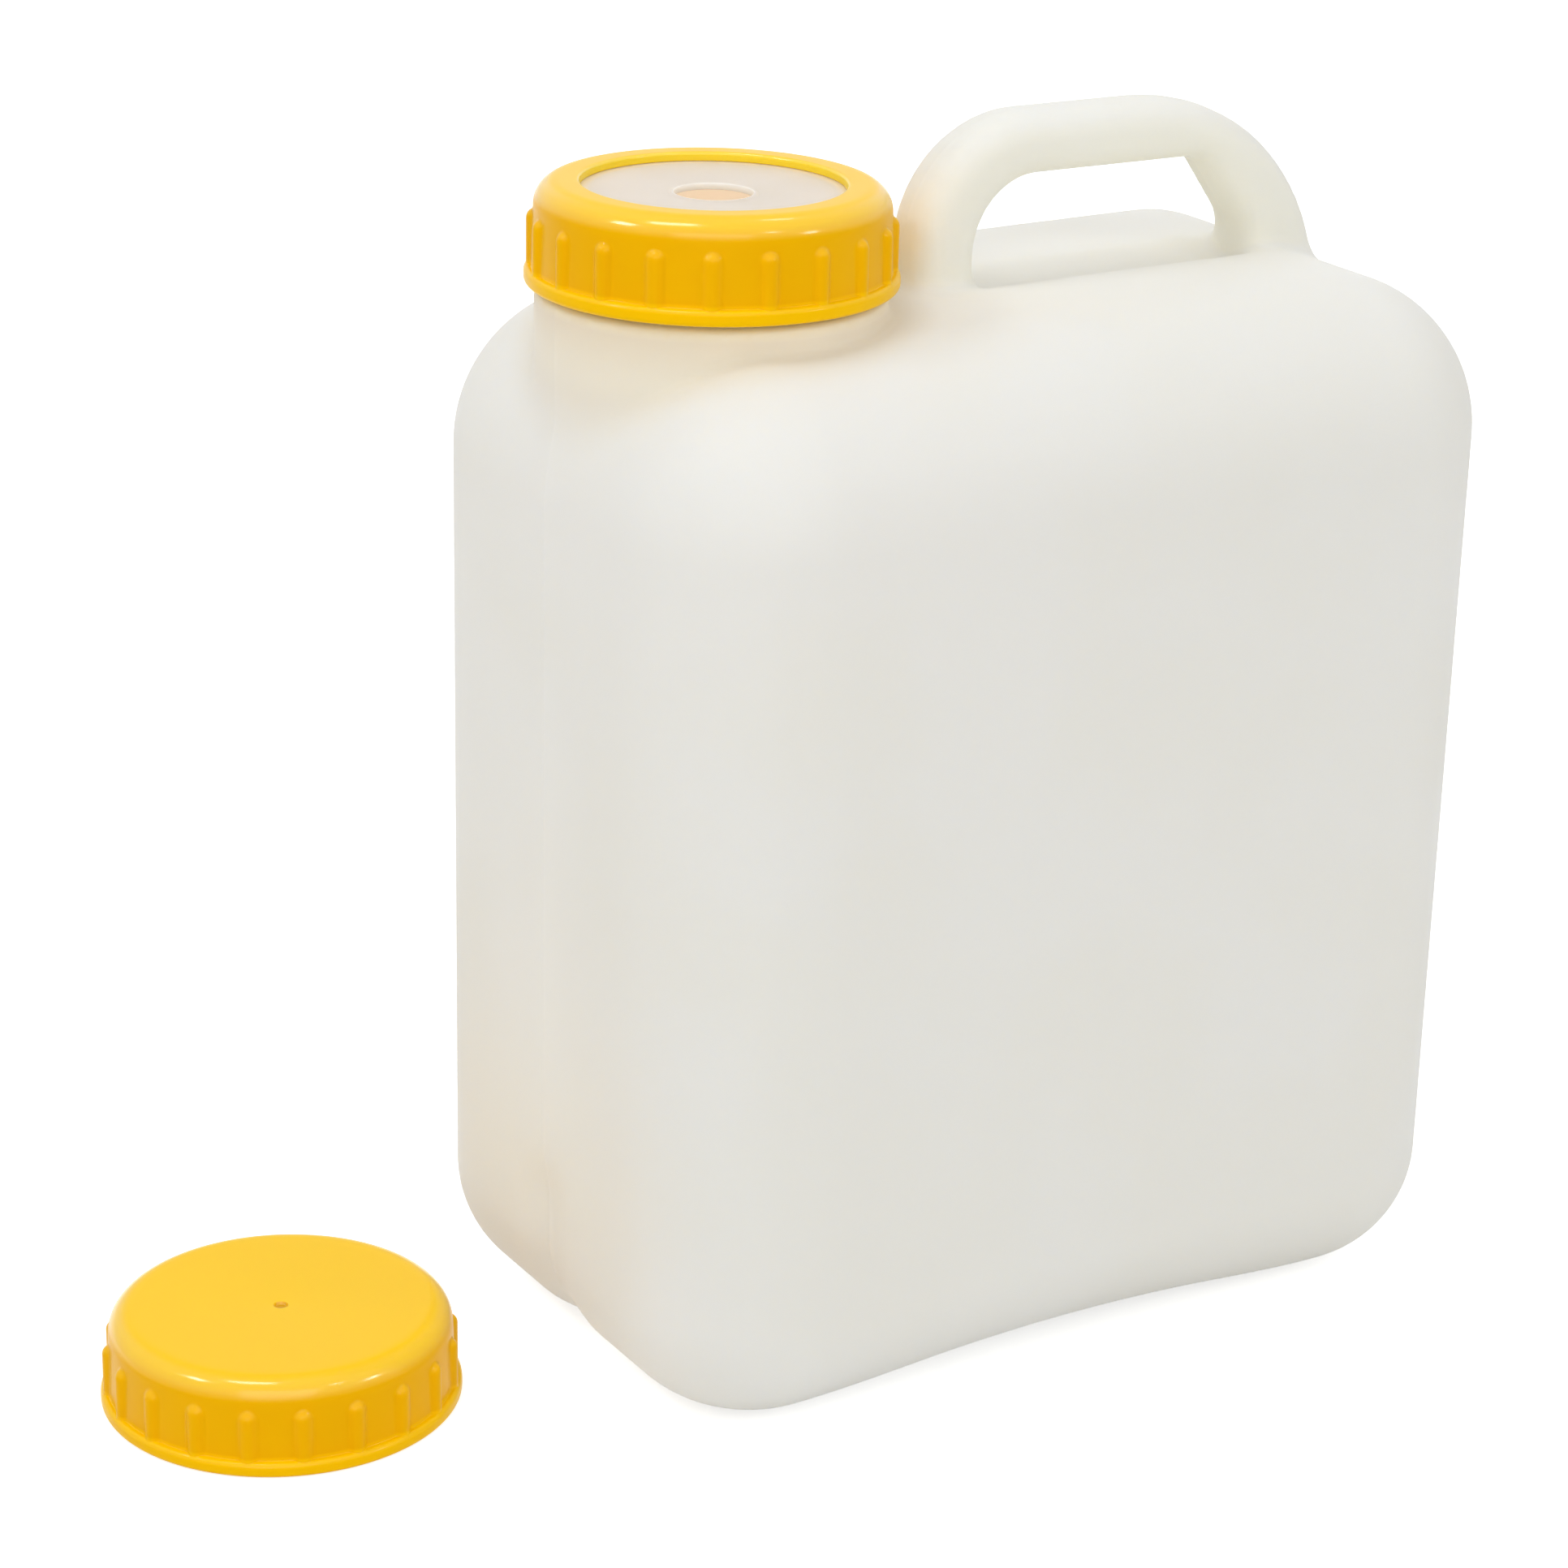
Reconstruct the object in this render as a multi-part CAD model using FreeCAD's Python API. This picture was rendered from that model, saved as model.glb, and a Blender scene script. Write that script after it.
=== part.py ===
import FreeCAD, Part
import math
import os
from FreeCAD import Vector

# A wide-neck jerry can, its screw ring with a drilled insert disc, and a spare closed cap.
# Millimetres. +Z is up, +X runs from the neck towards the handle, and the origin is on the
# ground under the middle of the can.

# Can body
BODY_LENGTH = 288.0            # along X
BODY_WIDTH = 181.0             # along Y
BODY_HEIGHT = 323.0            # ground to the flat of the shoulder
WALL = 2.0                     # blow-moulded skin
CORNER_RADIUS = 45.0           # upright corners
SHOULDER_RADIUS = 47.0         # rounding of the top edges
SHOULDER_CORNER = 4.0          # corner radius left where the shoulder meets the flat top
FOOT_RADIUS = 39.4             # rounding of the bottom edges
FOOT_CORNER = 6.0              # corner radius left where the rounding meets the ground
ROUNDING_STEPS = 7             # sections in each quarter round

# Underside
ARCH_HEIGHT = 4.6              # the base is lifted this far half way between its feet
ARCH_SPAN = 160.0              # distance between the inner edges of the feet
CHANNEL_RADIUS = 18.0          # groove along the pinch-off seam
CHANNEL_DEPTH = 2.2
CHANNEL_RISE = 13.0            # how far the groove climbs above the bottom rounding

# Neck
NECK_INSET = 54.0              # from the can's end to the neck's axis
NECK_RADIUS = 46.0             # root of the outside thread
NECK_BORE = 43.5
NECK_RISE = 29.2               # from the shoulder's flat to the sealing rim
RIM_ROUND = 0.8                # edges of the sealing rim
COLLAR_STEP = 0.8              # the cap stands this far outside the collar
COLLAR_GAP = 1.5               # between the collar's ledge and the cap
COLLAR_DEPTH = 38.0            # how far the collar reaches down into the shoulder
COLLAR_ROUND = 2.0

# Thread of the neck and of both caps, right-handed
THREAD_PITCH = 6.0
THREAD_HEIGHT = 1.9
THREAD_ROOT_WIDTH = 3.2
THREAD_CREST_WIDTH = 1.4
THREAD_CLEARANCE = 0.45        # radial, at crest and root
THREAD_SINK = 0.4              # how far a ridge is let into its wall
NECK_THREAD_START = 8.0        # above the collar's ledge
NECK_THREAD_TURNS = 2.25
CAP_THREAD_TURNS = 1.25

# Handle
HANDLE_WIDTH = 23.0            # along Y
HANDLE_ROUND = 7.0             # rounding of its long edges
HANDLE_LENGTH = 149.0          # along X, over both legs
HANDLE_GAP = 10.5              # between the cap's flange and the handle
FINGER_ROOM = 29.5             # from the shoulder's flat to the grip
GRIP_THICKNESS = 18.5
NECK_LEG_THICKNESS = 21.0
NECK_BEND_OUTER = 40.0
NECK_BEND_INNER = 22.0
END_BEND_OUTER = 67.0
END_CORNER_RADIUS = 8.5
END_LEG_THICKNESS = 30.5       # along X, at the shoulder
END_LEG_LEAN = 36.0            # degrees from upright, on the inner side
END_LEG_REACH = 15.7           # along X, taken up by the lean
END_KNEE_RADIUS = 12.0
LEG_FOOT = 2.0                 # straight end of the legs below the broad bend

# Finger trough under the grip
TROUGH_RADIUS = 14.0
TROUGH_DEPTH = 5.5

# Caps
CAP_HEIGHT = 29.3
CAP_WALL = 2.95
CAP_ROUND = 7.3                # rounding of the top edge
LIP_THICKNESS = 2.6            # the ring's lip and the closed cap's top
FLANGE_HEIGHT = 4.6
FLANGE_REACH = 2.2             # the bead stands this far outside the cap's wall
BEAD_ROUND = 1.6
RING_OPENING_RADIUS = 37.75
RING_EDGE_ROUND = 1.0
RIB_COUNT = 20
RIB_RADIUS = 3.0
RIB_PROUD = 1.5
RIB_TOP = 20.4                 # above the cap's bottom edge
RING_RIB_TURN = 5.4            # degrees from +X to a rib of the tightened ring
DIMPLE_RADIUS = 2.2            # moulding point in the closed cap
DIMPLE_DEPTH = 1.3

# Insert disc and seals
DISC_THICKNESS = 2.5
DISC_CLEARANCE = 0.3           # radial, to the cap's inside corner
BORE_RADIUS = 11.25
BORE_RIM_WIDTH = 1.6
BORE_RIM_HEIGHT = 0.4
SEAL_THICKNESS = 1.5

# Place of the spare cap
SPARE_CAP_GAP = 23.6           # clear ground between the can and the cap
SPARE_CAP_Y = 20.0

NECK_X = NECK_INSET - BODY_LENGTH / 2
NECK_RIM = BODY_HEIGHT + NECK_RISE
CAP_INNER_RADIUS = NECK_RADIUS + THREAD_HEIGHT + THREAD_CLEARANCE
CAP_RADIUS = CAP_INNER_RADIUS + CAP_WALL
FLANGE_RADIUS = CAP_RADIUS + FLANGE_REACH
CAP_INNER_ROUND = CAP_INNER_RADIUS - NECK_RADIUS
DISC_RADIUS = NECK_RADIUS - DISC_CLEARANCE
RING_BOTTOM = NECK_RIM + SEAL_THICKNESS + DISC_THICKNESS + LIP_THICKNESS - CAP_HEIGHT
COLLAR_TOP = RING_BOTTOM - COLLAR_GAP
COLLAR_RADIUS = CAP_RADIUS - COLLAR_STEP
NECK_THREAD_Z = COLLAR_TOP + NECK_THREAD_START
CAP_THREAD_Z = NECK_THREAD_Z - THREAD_PITCH / 2 - RING_BOTTOM
HANDLE_START = NECK_X + FLANGE_RADIUS + HANDLE_GAP
HANDLE_TOP = BODY_HEIGHT + FINGER_ROOM + GRIP_THICKNESS
END_LEG_X = HANDLE_START + HANDLE_LENGTH - END_LEG_THICKNESS
SPARE_CAP_X = -BODY_LENGTH / 2 - SPARE_CAP_GAP - FLANGE_RADIUS
OVERRUN = 10.0                 # how far a cutter runs past what it cuts
TINY = 0.001

UP = Vector(0, 0, 1)
ALONG = Vector(1, 0, 0)
ACROSS = Vector(0, 1, 0)


def on_side(u, v):
    """Point at u along and v up, in the can's middle plane."""
    return Vector(u, 0, v)


def rounded_outline(corners, place):
    """Closed wire through (u, v, radius) corners, each turned with its own radius."""
    turns = []
    for number, (u, v, radius) in enumerate(corners):
        here = place(u, v)
        back = (place(*corners[number - 1][:2]) - here).normalize()
        ahead = (place(*corners[(number + 1) % len(corners)][:2]) - here).normalize()
        half_angle = back.getAngle(ahead) / 2
        reach = radius / math.tan(half_angle)
        middle = here + (back + ahead) * ((radius / math.sin(half_angle) - radius) / (back + ahead).Length)
        turns.append((radius, here + back * reach, middle, here + ahead * reach))
    edges = []
    for number, (radius, start, middle, end) in enumerate(turns):
        if radius > 0:
            edges.append(Part.Arc(start, middle, end).toShape())
        next_start = turns[(number + 1) % len(turns)][1]
        if end.distanceToPoint(next_start) > TINY:
            edges.append(Part.makeLine(end, next_start))
    return Part.Wire(edges)


def level_rectangle(half_length, half_width, radius, z):
    """Level outline with four round corners."""
    corners = [(x, y, radius) for x, y in ((half_length, half_width), (-half_length, half_width),
                                           (-half_length, -half_width), (half_length, -half_width))]
    return rounded_outline(corners, lambda u, v: Vector(u, v, z))


def turned(corners):
    """Solid of revolution about Z from (radius, z, rounding) corners."""
    return Part.Face(rounded_outline(corners, on_side)).revolve(Vector(0, 0, 0), UP, 360)


def quarter_round(rounding, end_corner, skin, flat_z, towards):
    """Loft from a flat face at flat_z, over a quarter round, to the upright wall."""
    radius = rounding - skin
    wires = []
    for step in range(ROUNDING_STEPS):
        turn = math.radians(90.0 * step / (ROUNDING_STEPS - 1))
        inset = radius * (1 - math.sin(turn))
        corner = CORNER_RADIUS - (CORNER_RADIUS - end_corner) * inset / rounding - skin
        height = flat_z + towards * radius * (1 - math.cos(turn))
        wires.append(level_rectangle(BODY_LENGTH / 2 - skin - inset, BODY_WIDTH / 2 - skin - inset,
                                     corner, height))
    return Part.makeLoft(wires, True, False)


def body_form(skin):
    """The can's rounded block, shrunk on every side by skin."""
    foot = quarter_round(FOOT_RADIUS, FOOT_CORNER, skin, skin, 1)
    shoulder = quarter_round(SHOULDER_RADIUS, SHOULDER_CORNER, skin, BODY_HEIGHT - skin, -1)
    outline = level_rectangle(BODY_LENGTH / 2 - skin, BODY_WIDTH / 2 - skin, CORNER_RADIUS - skin,
                              FOOT_RADIUS)
    upright = Part.Face(outline).extrude(UP * (BODY_HEIGHT - SHOULDER_RADIUS - FOOT_RADIUS))
    return foot.fuse([upright, shoulder])


def arch_cutter(skin):
    """Large lying cylinder that lifts the base between its feet."""
    radius = ARCH_SPAN ** 2 / (8 * ARCH_HEIGHT) + ARCH_HEIGHT / 2
    start = Vector(0, -BODY_WIDTH / 2 - OVERRUN, ARCH_HEIGHT - radius)
    return Part.makeCylinder(radius + skin, BODY_WIDTH + 2 * OVERRUN, start, ACROSS)


def channel_cutter(skin):
    """Round groove along the middle of the base that climbs both end roundings and fades out."""
    reach = CHANNEL_RADIUS - CHANNEL_DEPTH
    radius = CHANNEL_RADIUS + skin
    bend_x = BODY_LENGTH / 2 - FOOT_RADIUS
    straight = Part.makeCylinder(radius, 2 * bend_x, Vector(-bend_x, 0, -reach), ALONG)
    pieces = []
    for side in (-1, 1):
        section = Part.Face(Part.Wire(Part.makeCircle(radius, Vector(side * bend_x, 0, -reach), ALONG)))
        pieces.append(section.revolve(Vector(side * bend_x, 0, FOOT_RADIUS), ACROSS * -side, 90))
        foot = Vector(side * (BODY_LENGTH / 2 + reach), 0, FOOT_RADIUS)
        pieces.append(Part.makeCylinder(radius, CHANNEL_RISE, foot, UP))
        pieces.append(Part.makeSphere(radius, foot + UP * CHANNEL_RISE))
    return straight.fuse(pieces)


def trough_cutter(skin):
    """Round groove in the shoulder between the handle's legs, ending inside them."""
    start = HANDLE_START + NECK_LEG_THICKNESS / 2 - skin
    end = END_LEG_X + NECK_LEG_THICKNESS / 2 + skin
    height = BODY_HEIGHT + TROUGH_RADIUS - TROUGH_DEPTH
    return Part.makeCylinder(TROUGH_RADIUS + skin, end - start, Vector(start, 0, height), ALONG)


def handle_form(skin):
    """Handle with its legs run down into the shoulder, shrunk on every side by skin."""
    foot = HANDLE_TOP - END_BEND_OUTER - LEG_FOOT
    top = HANDLE_TOP - skin
    ceiling = HANDLE_TOP - GRIP_THICKNESS + skin
    leg_start = HANDLE_START + skin
    leg_inner = HANDLE_START + NECK_LEG_THICKNESS - skin
    end_outer = HANDLE_START + HANDLE_LENGTH - skin
    end_inner = END_LEG_X + skin
    lean = math.radians(END_LEG_LEAN)
    corner_x = END_LEG_X - END_LEG_REACH + skin * (1 - math.sin(lean)) / math.cos(lean)
    knee_z = ceiling - (end_inner - corner_x) / math.tan(lean)
    corners = [(leg_start, foot, 0), (leg_start, top, NECK_BEND_OUTER - skin),
               (end_outer, top, END_BEND_OUTER - skin), (end_outer, foot, 0),
               (end_inner, foot, 0), (end_inner, knee_z, END_KNEE_RADIUS + skin),
               (corner_x, ceiling, END_CORNER_RADIUS + skin),
               (leg_inner, ceiling, NECK_BEND_INNER + skin), (leg_inner, foot, 0)]
    side = Part.Face(rounded_outline(corners, on_side))
    half_width = HANDLE_WIDTH / 2 - skin
    side.translate(ACROSS * -half_width)
    blank = side.extrude(ACROSS * 2 * half_width)
    long_edges = [edge for edge in blank.Edges
                  if abs(abs(edge.CenterOfMass.y) - half_width) < TINY
                  and edge.CenterOfMass.z > foot + TINY]
    return blank.makeFillet(HANDLE_ROUND - skin, long_edges)


def thread_ridge(root_radius, outward, start_z, turns):
    """Helical ridge out of a wall of root_radius, away from the axis (1) or towards it (-1)."""
    sunk = root_radius - outward * THREAD_SINK
    crest = root_radius + outward * THREAD_HEIGHT
    tip = THREAD_CREST_WIDTH / 2
    flank = (THREAD_ROOT_WIDTH - THREAD_CREST_WIDTH) / 2 / THREAD_HEIGHT
    base = tip + flank * (THREAD_HEIGHT + THREAD_SINK)
    points = [on_side(sunk, -base), on_side(crest, -tip), on_side(crest, tip), on_side(sunk, base)]
    profile = Part.makePolygon(points + points[:1])
    helix = Part.makeHelix(THREAD_PITCH, THREAD_PITCH * turns, root_radius)
    ridge = Part.Wire(helix.Edges).makePipeShell([profile], True, True)
    ridge.translate(UP * start_z)
    return ridge


def can_body():
    """Hollow blow-moulded can with its collar, threaded neck and hollow handle."""
    ledge_in = COLLAR_TOP - WALL
    collar_foot = COLLAR_TOP - COLLAR_DEPTH
    outside = body_form(0).cut([arch_cutter(0), channel_cutter(0), trough_cutter(0)])
    collar = turned([(0, collar_foot, 0), (COLLAR_RADIUS, collar_foot, 0),
                     (COLLAR_RADIUS, COLLAR_TOP, COLLAR_ROUND), (0, COLLAR_TOP, 0)])
    neck = turned([(0, ledge_in, 0), (NECK_RADIUS, ledge_in, 0), (NECK_RADIUS, NECK_RIM, RIM_ROUND),
                   (0, NECK_RIM, 0)])
    thread = thread_ridge(NECK_RADIUS, 1, NECK_THREAD_Z, NECK_THREAD_TURNS)
    inside = body_form(WALL).cut([arch_cutter(WALL), channel_cutter(WALL), trough_cutter(WALL)])
    collar_in = turned([(0, collar_foot - WALL, 0), (COLLAR_RADIUS - WALL, collar_foot - WALL, 0),
                        (COLLAR_RADIUS - WALL, ledge_in, 0), (0, ledge_in, 0)])
    bore = Part.makeCylinder(NECK_BORE, NECK_RIM + OVERRUN - collar_foot, UP * collar_foot)
    at_neck = ALONG * NECK_X
    for piece in (collar, neck, thread, collar_in, bore):
        piece.translate(at_neck)
    outside = outside.fuse([collar, neck, handle_form(0)])
    inside = inside.fuse([collar_in, bore, handle_form(WALL)])
    return outside.cut(inside).removeSplitter().fuse(thread)


def cap_shell(opening_radius, rib_turn):
    """Ribbed cap with an inside thread, open below, with a round opening on top or none."""
    flange = [(FLANGE_RADIUS, 0, BEAD_ROUND), (FLANGE_RADIUS, FLANGE_HEIGHT, BEAD_ROUND)]
    form = turned([(0, 0, 0)] + flange + [(CAP_RADIUS, FLANGE_HEIGHT, 0),
                                          (CAP_RADIUS, CAP_HEIGHT, CAP_ROUND), (0, CAP_HEIGHT, 0)])
    rib_axis = CAP_RADIUS + RIB_PROUD - RIB_RADIUS
    ribs = []
    for number in range(RIB_COUNT):
        turn = math.radians(rib_turn + 360.0 * number / RIB_COUNT)
        foot = Vector(rib_axis * math.cos(turn), rib_axis * math.sin(turn), FLANGE_HEIGHT / 2)
        top = Vector(foot.x, foot.y, RIB_TOP - RIB_RADIUS)
        ribs.append(Part.makeCylinder(RIB_RADIUS, top.z - foot.z, foot, UP))
        ribs.append(Part.makeSphere(RIB_RADIUS, top))
    ceiling = CAP_HEIGHT - LIP_THICKNESS
    hollow = turned([(0, -OVERRUN, 0), (CAP_INNER_RADIUS, -OVERRUN, 0),
                     (CAP_INNER_RADIUS, ceiling, CAP_INNER_ROUND), (0, ceiling, 0)])
    cap = form.fuse(ribs).cut(hollow)
    if opening_radius > 0:
        cap = cap.cut(Part.makeCylinder(opening_radius, CAP_HEIGHT + OVERRUN))
        lip_edges = [edge for edge in cap.Edges if hasattr(edge.Curve, "Radius")
                     and abs(edge.Curve.Radius - opening_radius) < TINY]
        cap = cap.makeFillet(RING_EDGE_ROUND, lip_edges)
    ridge = thread_ridge(CAP_INNER_RADIUS, -1, CAP_THREAD_Z, CAP_THREAD_TURNS)
    return cap.removeSplitter().fuse(ridge)


def screw_ring():
    """Union ring, tightened on the neck."""
    ring = cap_shell(RING_OPENING_RADIUS, RING_RIB_TURN)
    ring.translate(Vector(NECK_X, 0, RING_BOTTOM))
    return ring


def spare_cap():
    """Closed cap, standing open side down beside the can."""
    cap = cap_shell(0, 0)
    dimple = Part.makeCone(0, DIMPLE_RADIUS, DIMPLE_DEPTH, UP * (CAP_HEIGHT - DIMPLE_DEPTH))
    cap = cap.cut(dimple)
    cap.translate(Vector(SPARE_CAP_X, SPARE_CAP_Y, 0))
    return cap


def insert_disc():
    """Flat disc under the ring's lip, with a plain bore and a low rim round it."""
    bottom = NECK_RIM + SEAL_THICKNESS
    top = bottom + DISC_THICKNESS
    rim_radius = BORE_RADIUS + BORE_RIM_WIDTH
    disc = turned([(BORE_RADIUS, bottom, 0), (DISC_RADIUS, bottom, 0), (DISC_RADIUS, top, 0),
                   (rim_radius, top, 0), (rim_radius, top + BORE_RIM_HEIGHT, BORE_RIM_HEIGHT / 2),
                   (BORE_RADIUS, top + BORE_RIM_HEIGHT, 0)])
    disc.translate(ALONG * NECK_X)
    return disc


def flat_seal(x, y, bottom):
    """Flat ring of rubber as wide as the neck's rim."""
    top = bottom + SEAL_THICKNESS
    seal = turned([(NECK_BORE, bottom, 0), (DISC_RADIUS, bottom, 0), (DISC_RADIUS, top, 0),
                   (NECK_BORE, top, 0)])
    seal.translate(Vector(x, y, 0))
    return seal


def main():
    os.makedirs("parts", exist_ok=True)
    spare_ceiling = CAP_HEIGHT - LIP_THICKNESS
    pieces = {
        "can_body": can_body(),
        "screw_ring": screw_ring(),
        "insert_disc": insert_disc(),
        "neck_seal": flat_seal(NECK_X, 0, NECK_RIM),
        "spare_cap": spare_cap(),
        "spare_cap_seal": flat_seal(SPARE_CAP_X, SPARE_CAP_Y, spare_ceiling - SEAL_THICKNESS),
    }
    for node, shape in pieces.items():
        print(node, shape.ShapeType, len(shape.Solids), "solid,", round(shape.Volume), "mm3, valid",
              shape.isValid())
        shape.exportStep("parts/" + node + ".step")


main()
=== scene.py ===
import logging
import math
from dataclasses import dataclass
from enum import Enum
from itertools import product
from typing import Callable

import bpy
import numpy as np
from mathutils import Matrix, Vector


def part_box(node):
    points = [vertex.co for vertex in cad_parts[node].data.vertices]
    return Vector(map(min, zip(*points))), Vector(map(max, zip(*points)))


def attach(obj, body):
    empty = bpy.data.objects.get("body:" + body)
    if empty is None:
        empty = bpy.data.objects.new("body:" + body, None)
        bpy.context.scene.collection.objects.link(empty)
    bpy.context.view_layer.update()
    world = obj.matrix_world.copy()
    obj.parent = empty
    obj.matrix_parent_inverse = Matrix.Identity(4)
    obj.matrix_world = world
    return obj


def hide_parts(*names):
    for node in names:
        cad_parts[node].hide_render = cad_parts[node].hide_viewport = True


# The looks of a wide-neck jerry can: a milky blow-moulded body, a yellow screw ring with a
# drilled insert disc, and a spare closed cap. Sizes are in millimetres until a mesh is made.

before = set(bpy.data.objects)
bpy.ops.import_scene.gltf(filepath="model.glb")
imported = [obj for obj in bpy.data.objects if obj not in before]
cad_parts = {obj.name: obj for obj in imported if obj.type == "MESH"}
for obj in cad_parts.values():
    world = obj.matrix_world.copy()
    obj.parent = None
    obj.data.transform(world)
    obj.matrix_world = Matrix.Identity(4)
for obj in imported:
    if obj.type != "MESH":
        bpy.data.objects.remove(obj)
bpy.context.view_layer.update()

MM = 0.001               # metres in a millimetre
FULL_TURN = 2 * math.pi
Array = np.ndarray
Colour = tuple[float, float, float]
Span = tuple[float, float]
Form = Callable[[Array, Array, Array], Array]
Node = bpy.types.Node
Socket = bpy.types.NodeSocket
Mesh = bpy.types.Mesh
Material = bpy.types.Material
Object = bpy.types.Object
log = logging.getLogger("jerry_can")


def node_box(node: str) -> tuple[Array, Array]:
    """Lowest and highest corner of a frame node, in millimetres."""
    low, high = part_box(node)
    return np.array(low) / MM, np.array(high) / MM


def node_foot(node: str) -> Array:
    """Middle of the underside of a node's box, in millimetres."""
    low, high = node_box(node)
    return np.array([*((low + high)[:2] / 2), low[2]])


def linear(colour: Colour) -> tuple[float, ...]:
    """Display colour, 0 to 255, as a linear one and full cover: straight to 0.04, then a power."""
    share = np.array([*colour, 255]) / 255
    return tuple(np.where(share <= 0.04045, share / 12.92, ((share + 0.055) / 1.055) ** 2.4))


# ---------------- forms as distances

def smooth_union(first: Array, second: Array, width: float) -> Array:
    """Lesser of two distances, less a bump where they are within width of each other: a fillet."""
    share = np.clip(0.5 + 0.5 * (second - first) / width, 0, 1)
    return second + (first - second) * share - width * share * (1 - share)


def smooth_greater(first: Array, second: Array, width: float) -> Array:
    """Greater of two distances, plus the same bump: what two forms share, with a soft edge."""
    return -smooth_union(-first, -second, width)


def rounded_edge(first: Array, second: Array, radius: float) -> Array:
    """Greater of two distances, or past the edge's centre line the distance from it less radius."""
    past = np.hypot(np.maximum(first + radius, 0), np.maximum(second + radius, 0))
    return np.minimum(np.maximum(first, second) + radius, 0) + past - radius


@dataclass(frozen=True)
class Outline:
    """Closed plane outline through (u, v, radius) corners, each turned with its own radius."""

    corners: tuple[tuple[float, float, float], ...]
    arc_step: float = 0.09          # radians between points on an arc

    def points(self, closed: bool = True) -> Array:
        """Points of the outline: each corner's arc, centred on its bisector.

        Args:
            closed: Whether the last corner runs on to the first.

        Returns:
            Rows of (u, v).
        """
        count = len(self.corners)
        rows = []
        for number, (u, v, radius) in enumerate(self.corners):
            here = np.array([u, v], float)
            at_end = not closed and number in (0, count - 1)
            if radius <= 0 or at_end:
                rows.append(here[None, :])
                continue
            back = np.array(self.corners[number - 1][:2]) - here
            ahead = np.array(self.corners[(number + 1) % count][:2]) - here
            back, ahead = back / np.hypot(*back), ahead / np.hypot(*ahead)
            half = math.acos(float(np.clip(back @ ahead, -1, 1))) / 2
            bisector = (back + ahead) / np.hypot(*(back + ahead))
            centre = here + bisector * radius / math.sin(half)
            first = here + back * radius / math.tan(half) - centre
            last = here + ahead * radius / math.tan(half) - centre
            sweep = math.atan2(first[0] * last[1] - first[1] * last[0], first @ last)
            turns = np.linspace(0, sweep, max(4, math.ceil(abs(sweep) / self.arc_step) + 1))
            rows.append(centre + np.column_stack([
                first[0] * np.cos(turns) - first[1] * np.sin(turns),
                first[0] * np.sin(turns) + first[1] * np.cos(turns)]))
        return np.vstack(rows)

    def distance(self, u: Array, v: Array) -> Array:
        """Signed distance to the outline: the nearest of its sides, negative where a ray to the
        right crosses an odd number of them.

        Args:
            u: First coordinate.
            v: Second coordinate, of a shape that goes with u's.

        Returns:
            Distances of their common shape.
        """
        starts = self.points()
        ends = np.roll(starts, -1, axis=0)
        u, v = np.broadcast_arrays(u, v)
        nearest = np.full(u.shape, np.inf)
        inside = np.zeros(u.shape, bool)
        for (start_u, start_v), (end_u, end_v) in zip(starts, ends):
            run_u, run_v = end_u - start_u, end_v - start_v
            length = run_u * run_u + run_v * run_v
            if length < 1e-12:
                continue
            share = np.clip(((u - start_u) * run_u + (v - start_v) * run_v) / length, 0, 1)
            gap = (u - start_u - share * run_u) ** 2 + (v - start_v - share * run_v) ** 2
            nearest = np.minimum(nearest, gap)
            if run_v != 0:
                crosses = (start_v > v) != (end_v > v)
                inside ^= crosses & (u < start_u + (v - start_v) * run_u / run_v)
        return np.sqrt(nearest) * np.where(inside, -1, 1)


def rows_along(path: Array, spacing: Callable[[Array], Array], turn: float = 0.3) -> Array:
    """Rows along a path, a row for each spacing travelled and one for each turn made.

    Args:
        path: Points of the path.
        spacing: Wanted distance between rows at given points.
        turn: Radians turned between rows.

    Returns:
        Points of the rows, with the path's own ends.
    """
    lengths = np.hypot(*np.diff(path, axis=0).T)
    travelled = np.concatenate([[0], np.cumsum(lengths)])
    fine = np.linspace(0, travelled[-1], math.ceil(travelled[-1] / 0.04) + 1)
    points = np.column_stack([np.interp(fine, travelled, path[:, axis]) for axis in (0, 1)])
    steps = np.diff(points, axis=0)
    heading = np.unwrap(np.arctan2(steps[:, 1], steps[:, 0]))
    bends = np.abs(np.diff(heading, prepend=heading[0]))
    wanted = np.hypot(*steps.T) / spacing((points[1:] + points[:-1]) / 2) + bends / turn
    measure = np.concatenate([[0], np.cumsum(wanted)])
    places = np.linspace(0, measure[-1], math.ceil(measure[-1]) + 1)
    return np.column_stack([np.interp(places, measure, points[:, axis]) for axis in (0, 1)])


# ---------------- meshes and pieces

def put_mesh(name: str, points: Array, quads: Array, triangles: Array | None = None) -> Mesh:
    """Makes a smooth mesh from millimetre points.

    Args:
        name: Name of the mesh.
        points: Rows of (x, y, z).
        quads: Rows of four point numbers, anticlockwise from outside.
        triangles: Rows of three point numbers, or None.

    Returns:
        The new mesh, in metres.
    """
    mesh = bpy.data.meshes.new(name)
    triangles = np.zeros((0, 3), int) if triangles is None else triangles
    loops = np.concatenate([quads.ravel(), triangles.ravel()]).astype(np.int32)
    starts = np.concatenate([np.arange(len(quads)) * 4,
                             4 * len(quads) + np.arange(len(triangles)) * 3])
    mesh.vertices.add(len(points))
    mesh.vertices.foreach_set("co", (points * MM).astype(np.float32).ravel())
    mesh.loops.add(len(loops))
    mesh.loops.foreach_set("vertex_index", loops)
    mesh.polygons.add(len(starts))
    mesh.polygons.foreach_set("loop_start", starts.astype(np.int32))
    mesh.update(calc_edges=True)
    mesh.validate()
    mesh.shade_smooth()
    return mesh


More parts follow.
